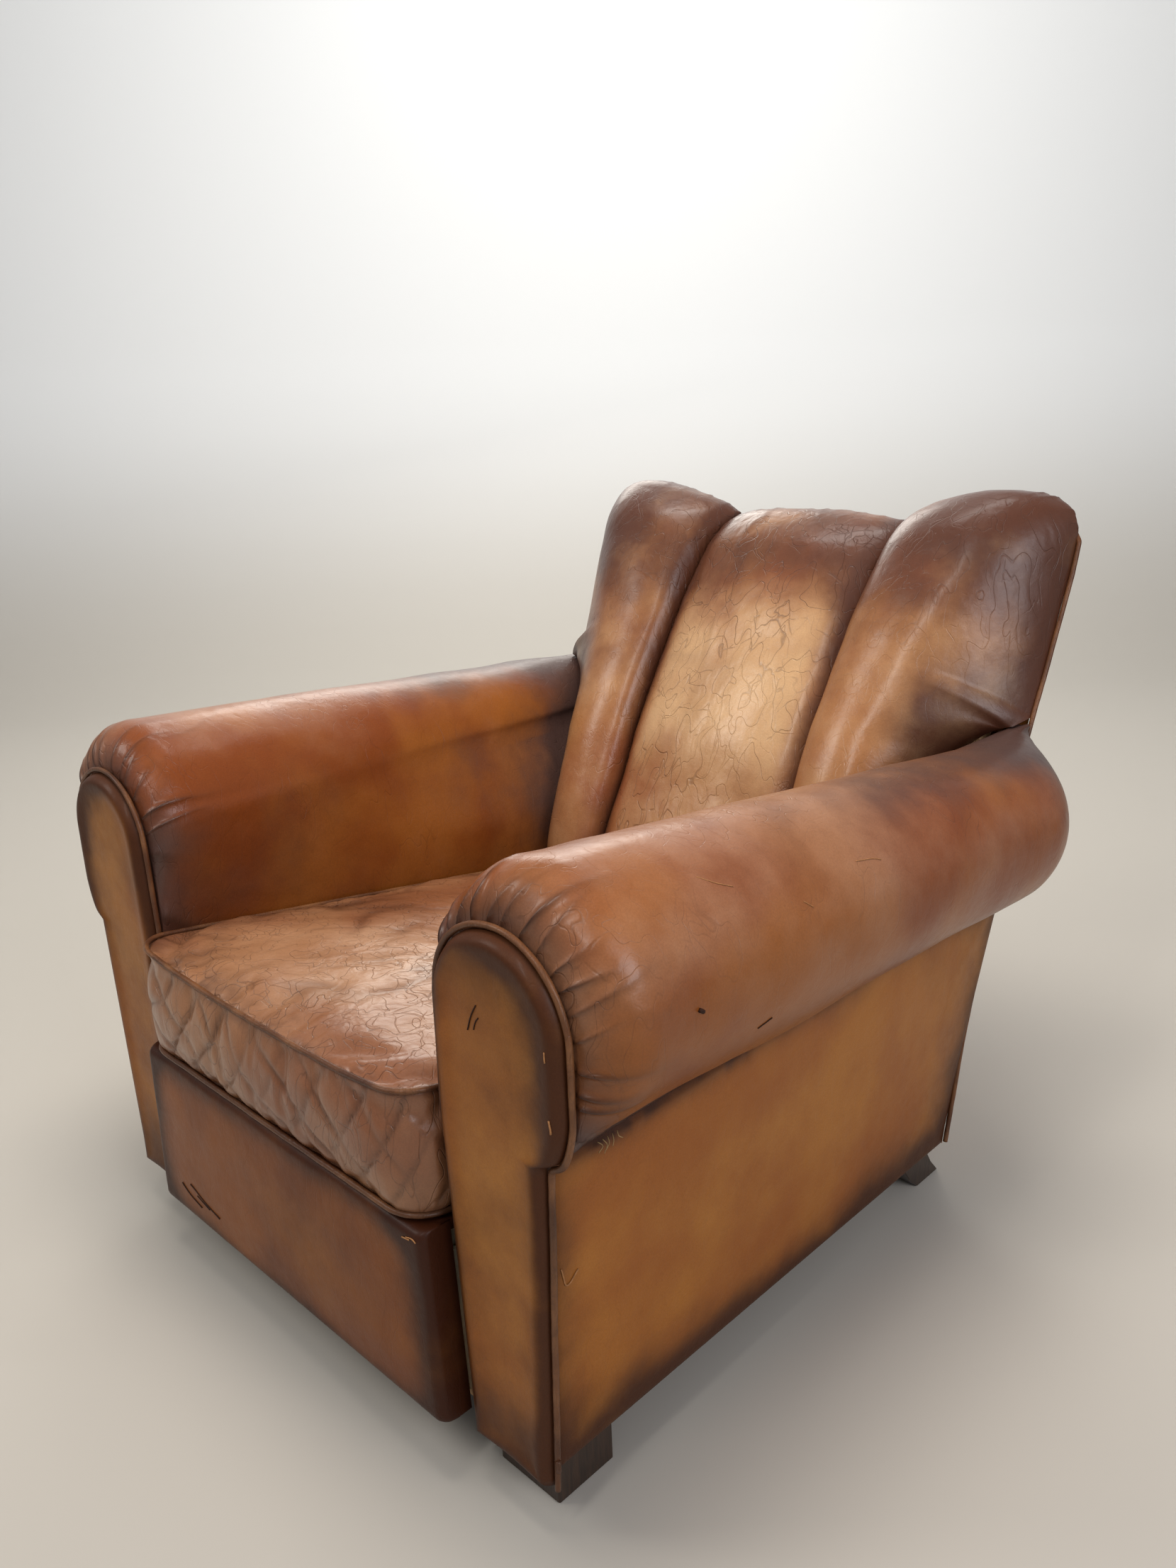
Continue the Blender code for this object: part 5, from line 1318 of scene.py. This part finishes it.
def cushion_loop(level):
    """Seam line around the cushion at the bottom or top of its border."""
    unit = []
    for start, end in (((-1, -1), (1, -1)), ((1, -1), (1, 1)), ((1, 1), (-1, 1)),
                       ((-1, 1), (-1, -1))):
        unit += [(mix(start[0], end[0], s), mix(start[1], end[1], s), 2 * level - 1)
                 for s in np.linspace(0.0, 1.0, 60)[:-1]]
    loop = cushion_place(np.array(unit, float))
    centre = np.array([0.0, 0.5 * (CUSHION_FRONT_Y + CUSHION_BACK_Y), 0.0])
    out = loop - centre
    out[:, 2] = 0.0
    out /= np.abs(out).max(axis=1, keepdims=True)
    return loop + 0.0022 * out


for SIDE, NAME in SIDES:
    pipe = facing_outline(PIPE_RADIUS + 0.0006)
    pipe = np.stack([SIDE * pipe[:, 0], np.full(len(pipe), 0.0005), pipe[:, 1]], -1)
    build_piping("facing_piping_" + NAME, pipe, ("facing_welt_" + NAME,))
build_piping("cushion_piping_top", cushion_loop(0.9999), ("cushion_welt_top",), closed=True)
build_piping("cushion_piping_bottom", cushion_loop(SEAM_LIFT), ("cushion_welt_bottom",),
             closed=True)

# %% Piping around the back
rear_heights = np.linspace(BODY_BOTTOM_Z + 0.004, BACK_ROWS[-1][2] - 0.0050, 90)
right_side = [(BACK_HALF + 0.0034, rear_y(z) - 0.0002, z) for z in rear_heights]
top_x = np.linspace(BACK_HALF - 0.012, -(BACK_HALF - 0.012), 80)
top_y, top_z = top_edge(top_x)
across_top = np.stack([top_x, top_y + 0.0022, top_z - 0.0032], -1).tolist()
left_side = [(-x, y, z) for x, y, z in right_side[::-1]]
build_piping("back_piping", right_side + across_top + left_side, ("back_welt",))

# %% [markdown]
# ## Scratches, loose threads and a knot
# Decades of use leave single marks that a pattern can't draw. A fresh scratch shows raw,
# pale hide, an old one is dark with dirt. Each is a hair-thin bead laid on the leather,
# found by dropping its points onto the nearest surface. Under the near roll the seam has
# opened and its threads hang out, and the piping of the facing ends in a small knot.


# %% Single marks of wear
def plain(name, hex_code, roughness):
    """Plain colour for hair-thin marks."""
    material, tree, place = new_material(name)
    cloud = noise(tree, place, 4.0)["Fac"]
    colour = blend(tree, 1.0, paint(hex_code), ramp(tree, cloud, 0.2, 0.8, 0.75, 1.1), "MULTIPLY")
    finish(tree, {"Base Color": colour, "Roughness": roughness, "Specular IOR Level": 0.25})
    return material


def scratch(name, piece_name, spots, radius, material, sunk=0.45):
    """Thin bead along a line of spots dropped onto a piece."""
    piece = bpy.data.objects[piece_name]
    spots = spline(np.array(spots, float), np.linspace(0.0, len(spots) - 1, 6 * len(spots)))
    line = []
    for spot in spots:
        _, place, normal, _ = piece.closest_point_on_mesh(Vector(spot) + Vector(ROOT_SHIFT))
        line.append(np.array(place) - ROOT_SHIFT - np.array(normal) * radius * sunk)
    build_piping(name, line, radius=radius, sides=6, material=material)


RAW_HIDE = plain("raw_hide_scratch", "#a5744a", 0.7)
OLD_DIRT = plain("old_dirt_in_scratch", "#2f170c", 0.7)
THREAD = plain("linen_thread", "#9c8058", 0.8)
SCRATCHES = (
    ("panel_nick", "side_leather_left", ((.44, .012, .284), (.44, .019, .262), (.44, .032, .272)),
     .0008, RAW_HIDE),
    ("facing_scratch_1", "arm_facing_leather_left", ((.319, -.02, .497), (.325, -.02, .512),
                                                   (.332, -.02, .524)), .0007, OLD_DIRT),
    ("facing_scratch_2", "arm_facing_leather_left", ((.327, -.02, .500), (.330, -.02, .508),
                                                   (.334, -.02, .513)), .0006, OLD_DIRT),
    ("facing_nick_1", "arm_facing_leather_left", ((.417, -.02, .452), (.419, -.02, .440)),
     .0009, RAW_HIDE),
    ("facing_nick_2", "arm_facing_leather_left", ((.414, -.02, .512), (.416, -.02, .503)),
     .0007, RAW_HIDE),
    ("heel_scratch_1", "seat_front_leather", ((-.190, -.06, .121), (-.158, -.06, .110),
                                             (-.128, -.06, .103)), .0009, OLD_DIRT),
    ("heel_scratch_2", "seat_front_leather", ((-.178, -.06, .110), (-.150, -.06, .104)),
     .0007, OLD_DIRT),
    ("heel_scratch_3", "seat_front_leather", ((-.214, -.06, .112), (-.196, -.06, .101),
                                             (-.172, -.06, .096)), .0008, OLD_DIRT),
    ("corner_scuff_1", "seat_front_leather", ((.242, -.06, .272), (.252, -.06, .274),
                                             (.260, -.05, .270)), .0006, RAW_HIDE),
    ("corner_scuff_2", "seat_front_leather", ((.236, -.06, .266), (.247, -.06, .268)),
     .0007, RAW_HIDE),
    ("roll_spot", "arm_leather_left", ((.470, .097, .527), (.470, .102, .524)), .0020, OLD_DIRT),
    ("roll_scratch_1", "arm_leather_left", ((.440, .150, .620), (.450, .165, .612),
                                           (.455, .180, .604)), .0004, RAW_HIDE),
    ("roll_scratch_2", "arm_leather_left", ((.474, .250, .570), (.478, .260, .562)),
     .0004, RAW_HIDE),
    ("roll_scratch_3", "arm_leather_left", ((.470, .340, .580), (.474, .365, .577),
                                           (.475, .375, .572)), .0004, RAW_HIDE),
    ("roll_scratch_4", "arm_leather_left", ((.465, .180, .480), (.468, .196, .484)),
     .0006, OLD_DIRT),
)
for mark in SCRATCHES:
    scratch(*mark)

LOOSE_THREADS = 5
draw = np.random.default_rng(8)
seam_x, seam_z = NOTCH[0] + 0.003, PANEL_TOP_Z + 0.001
for count in range(LOOSE_THREADS):
    start = np.array([seam_x, 0.055 + 0.006 * count, seam_z])
    drop = draw.uniform(0.006, 0.014)
    thread = [start, start + (0.004, draw.uniform(-0.004, 0.004), -0.4 * drop),
              start + (0.003, draw.uniform(-0.006, 0.006), -drop)]
    build_piping("loose_thread_%d" % (count + 1), thread, radius=0.00045, sides=5,
                 material=THREAD)
knot_x, knot_z = outside_x(0.080), 0.080
knot = [(knot_x + 0.0060, -0.0010, knot_z + 0.006), (knot_x + 0.0068, -0.0014, knot_z),
        (knot_x + 0.0058, -0.0008, knot_z - 0.006)]
build_piping("piping_knot", knot, radius=0.0026, sides=8, material=WELT_HIDE)
print("single marks:", len(SCRATCHES), "scratches,", LOOSE_THREADS, "threads and a knot")

# %% [markdown]
# ## Feet and frame
# The feet are beech stained to a very dark wenge brown, with a satin varnish. The hidden
# frame is plain sawn beech. Wood grain is stretched along the timber: rings 4 mm apart
# across the grain, and about fifteen times as long along it.


# %% Wood
GRAIN_STRETCH = 0.07


def straight(tree, value, low, high, start=0.0, end=1.0):
    """Value moved evenly from one range to another."""
    return add_node(tree, "MapRange", {"Value": value, "From Min": low, "From Max": high,
                                       "To Min": start, "To Max": end}).outputs["Result"]


def wood(name, early, late, roughness, ring_mm, coat=0.0):
    """Straight-grained timber, sawn or varnished."""
    material, tree, place = new_material(name)
    drawn = add_node(tree, "Mapping", {"Vector": place, "Scale": (1.0, 1.0, GRAIN_STRETCH)})
    rings = add_node(tree, "TexNoise", {"Vector": drawn.outputs["Vector"],
                                        "Scale": per_metre(ring_mm), "Detail": 6.0,
                                        "Roughness": 0.6, "Distortion": 0.4}).outputs["Fac"]
    colour = blend(tree, straight(tree, rings, 0.35, 0.65), paint(early), paint(late))
    gloss = straight(tree, rings, 0.0, 1.0, roughness - 0.06, roughness + 0.10)
    finish(tree, {"Base Color": colour, "Roughness": gloss, "IOR": 1.5,
                  "Normal": bumped(tree, rings, 0.35, 0.0004), "Coat Weight": coat,
                  "Coat Roughness": 0.25})
    return material


BEECH = wood("sawn_beech", "#c9a377", "#b3895c", 0.62, 4.0)
WENGE = wood("varnished_wenge_stain", "#3a2517", "#22150d", 0.42, 3.0, 0.15)
print("woods:", BEECH.name, WENGE.name)

# %% [markdown]
# Jute webbing and hessian are coarse plain weaves with threads about 1.5 mm apart, drawn
# as two crossed waves. The stuffing is teased fibre and the springs are bare wire.


# %% Woven and filling materials
SLUB_MM, RUST_MM = 8.0, 15.0


def cloth_material(name, thread, shadow, thread_mm, roughness=0.9):
    """Plain weave of two crossed sets of threads."""
    material, tree, place = new_material(name)
    threads = [add_node(tree, "TexWave", {"Vector": place, "Scale": per_metre(thread_mm) / 20.0,
                                          "Distortion": 0.8, "Detail": 2.0},
                        bands_direction=axis).outputs["Fac"] for axis in ("X", "Y")]
    weave = add_node(tree, "Math", {0: threads[0], 1: threads[1]},
                     operation="MULTIPLY").outputs["Value"]
    slub = noise(tree, place, SLUB_MM, 4.0, 0.5)["Fac"]
    share = add_node(tree, "Math", {0: weave, 1: 0.6, 2: slub},
                     operation="MULTIPLY_ADD", use_clamp=True).outputs["Value"]
    finish(tree, {"Base Color": blend(tree, share, paint(shadow), paint(thread)),
                  "Roughness": roughness, "IOR": 1.45,
                  "Normal": bumped(tree, share, 0.5, 0.0005)})
    return material


def wire_material():
    """Drawn spring steel with a thin film of rust."""
    material, tree, place = new_material("drawn_spring_steel")
    film = noise(tree, place, RUST_MM, 5.0, 0.5)["Fac"]
    share = straight(tree, film, 0.45, 0.7)
    finish(tree, {"Base Color": blend(tree, share, paint("#9a958c"), paint("#6a4c38")),
                  "Metallic": 1.0, "Roughness": straight(tree, share, 0.0, 1.0, 0.32, 0.7)})
    return material


JUTE = cloth_material("woven_jute", "#a88a5c", "#6e5636", 1.6)
FIBRE = cloth_material("teased_fibre_stuffing", "#cbbfa6", "#a89a80", 5.0)
CAMBRIC = cloth_material("black_cambric", "#2b2a2b", "#151516", 1.0)
STEEL = wire_material()
FINISHES = {"beech": BEECH, "wenge": WENGE, "jute": JUTE, "stuffing": FIBRE,
            "cambric": CAMBRIC, "spring_steel": STEEL}
slots = {part["node"]: part["material_slot"] for part in frame["record"]["subparts"]}
for node_name, node_object in frame["nodes"].items():
    material = FINISHES.get(slots[node_name])
    if material:
        node_object.data.materials.clear()
        node_object.data.materials.append(material)
print("finished CAD nodes:", sum(slots[name] in FINISHES for name in frame["nodes"]))

# %% [markdown]
# ## Stage and light
# A plain pale floor runs up into a paler wall. A lamp at the upper left stands for a
# window and draws the gloss on the flutes, a strip in front adds thin streaks, and a lamp
# on the right lights the side. The ceiling lamp gives even light without a reflection. Two
# lamps at the rear wash the tops of the arms and the wall.

# %% Floor, lamps and world
SWEEP_START, SWEEP_RADIUS, SWEEP_HALF, WALL_TOP = 2.6, 1.2, 9.0, 7.0


def studio_sweep():
    """Floor that curves up into a wall behind the chair, seen from the camera."""
    profile = [(-SWEEP_HALF, 0.0), (SWEEP_START, 0.0)]
    for degrees in range(10, 91, 10):
        angle = math.radians(degrees)
        profile.append((SWEEP_START + SWEEP_RADIUS * math.sin(angle),
                        SWEEP_RADIUS * (1.0 - math.cos(angle))))
    profile.append((SWEEP_START + SWEEP_RADIUS, WALL_TOP))
    across = Vector((math.cos(CAMERA_YAW), -math.sin(CAMERA_YAW), 0.0))
    away = Vector((math.sin(CAMERA_YAW), math.cos(CAMERA_YAW), 0.0))
    rows = [[tuple(away * run + across * side + Vector((0, 0, z)))
             for side in (-SWEEP_HALF, SWEEP_HALF)] for run, z in profile]
    mesh = bpy.data.meshes.new("studio_sweep")
    mesh.from_pydata([point for row in rows for point in row], [], grid_faces(len(rows), 2))
    mesh.shade_smooth()
    return mesh


floor_mesh = studio_sweep()
stage_material, stage_tree, stage_place = new_material("matt_pale_paint")
height = add_node(stage_tree, "SeparateXYZ", {"Vector": stage_place}).outputs["Z"]
pale = blend(stage_tree, ramp(stage_tree, height, 0.0, 1.2), paint("#b5b0a8"), paint("#eceef0"))
finish(stage_tree, {"Base Color": pale, "Roughness": 0.9})
floor_mesh.materials.append(stage_material)
floor = add_object("studio_sweep", floor_mesh)

LAMPS = (("window", (-1.9, -2.3, 2.7), (0.0, 0.1, 0.4), (0.9, 1.2), 27.0, "#fffaf2"),
         ("fill", (3.0, -0.6, 1.9), (0.0, 0.0, 0.4), (1.6, 1.6), 40.0, "#fbfaff"),
         ("ceiling", (0.2, -0.2, 2.9), (0.0, 0.0, 0.4), (1.3, 0.9), 50.0, "#fff8ee"),
         ("strip", (0.6, -1.7, 2.3), (0.05, 0.3, 0.5), (0.18, 1.2), 12.0, "#fffdf8"),
         ("rear_wash", (-2.5, 2.0, 2.0), (0.0, 0.1, 0.5), (1.6, 1.0), 20.0, "#fffaf0"),
         ("wall_wash", (-0.6, 0.9, 3.4), (-2.6, 3.0, 1.6), (1.6, 1.0), 78.0, "#fffdf8"))
for lamp_name, place, target, size, watts, tint in LAMPS:
    lamp_data = bpy.data.lights.new(lamp_name, "AREA")
    lamp_data.shape = "RECTANGLE"
    lamp_data.size, lamp_data.size_y = size
    lamp_data.energy = watts
    lamp_data.color = paint(tint)[:3]
    lamp = add_object(lamp_name, lamp_data)
    lamp.location = place
    lamp.visible_camera = False
    lamp.visible_glossy = lamp_name != "ceiling"
    lamp.rotation_euler = (Vector(target) - Vector(place)).to_track_quat("-Z", "Y").to_euler()

world = bpy.data.worlds.new("studio")
world.use_nodes = True
world.node_tree.nodes.clear()
back = add_node(world.node_tree, "Background", {"Color": paint("#dfe1e4"), "Strength": 0.40})
front = add_node(world.node_tree, "Background", {"Color": paint("#d9dcde"), "Strength": 1.0})
seen = add_node(world.node_tree, "LightPath").outputs["Is Camera Ray"]
both = add_node(world.node_tree, "MixShader", {0: seen, 1: back.outputs["Background"],
                                               2: front.outputs["Background"]})
add_node(world.node_tree, "OutputWorld", {"Surface": both.outputs["Shader"]})
bpy.context.scene.world = world
bpy.context.scene.view_settings.view_transform = "Standard"
print("lamps:", len(LAMPS))
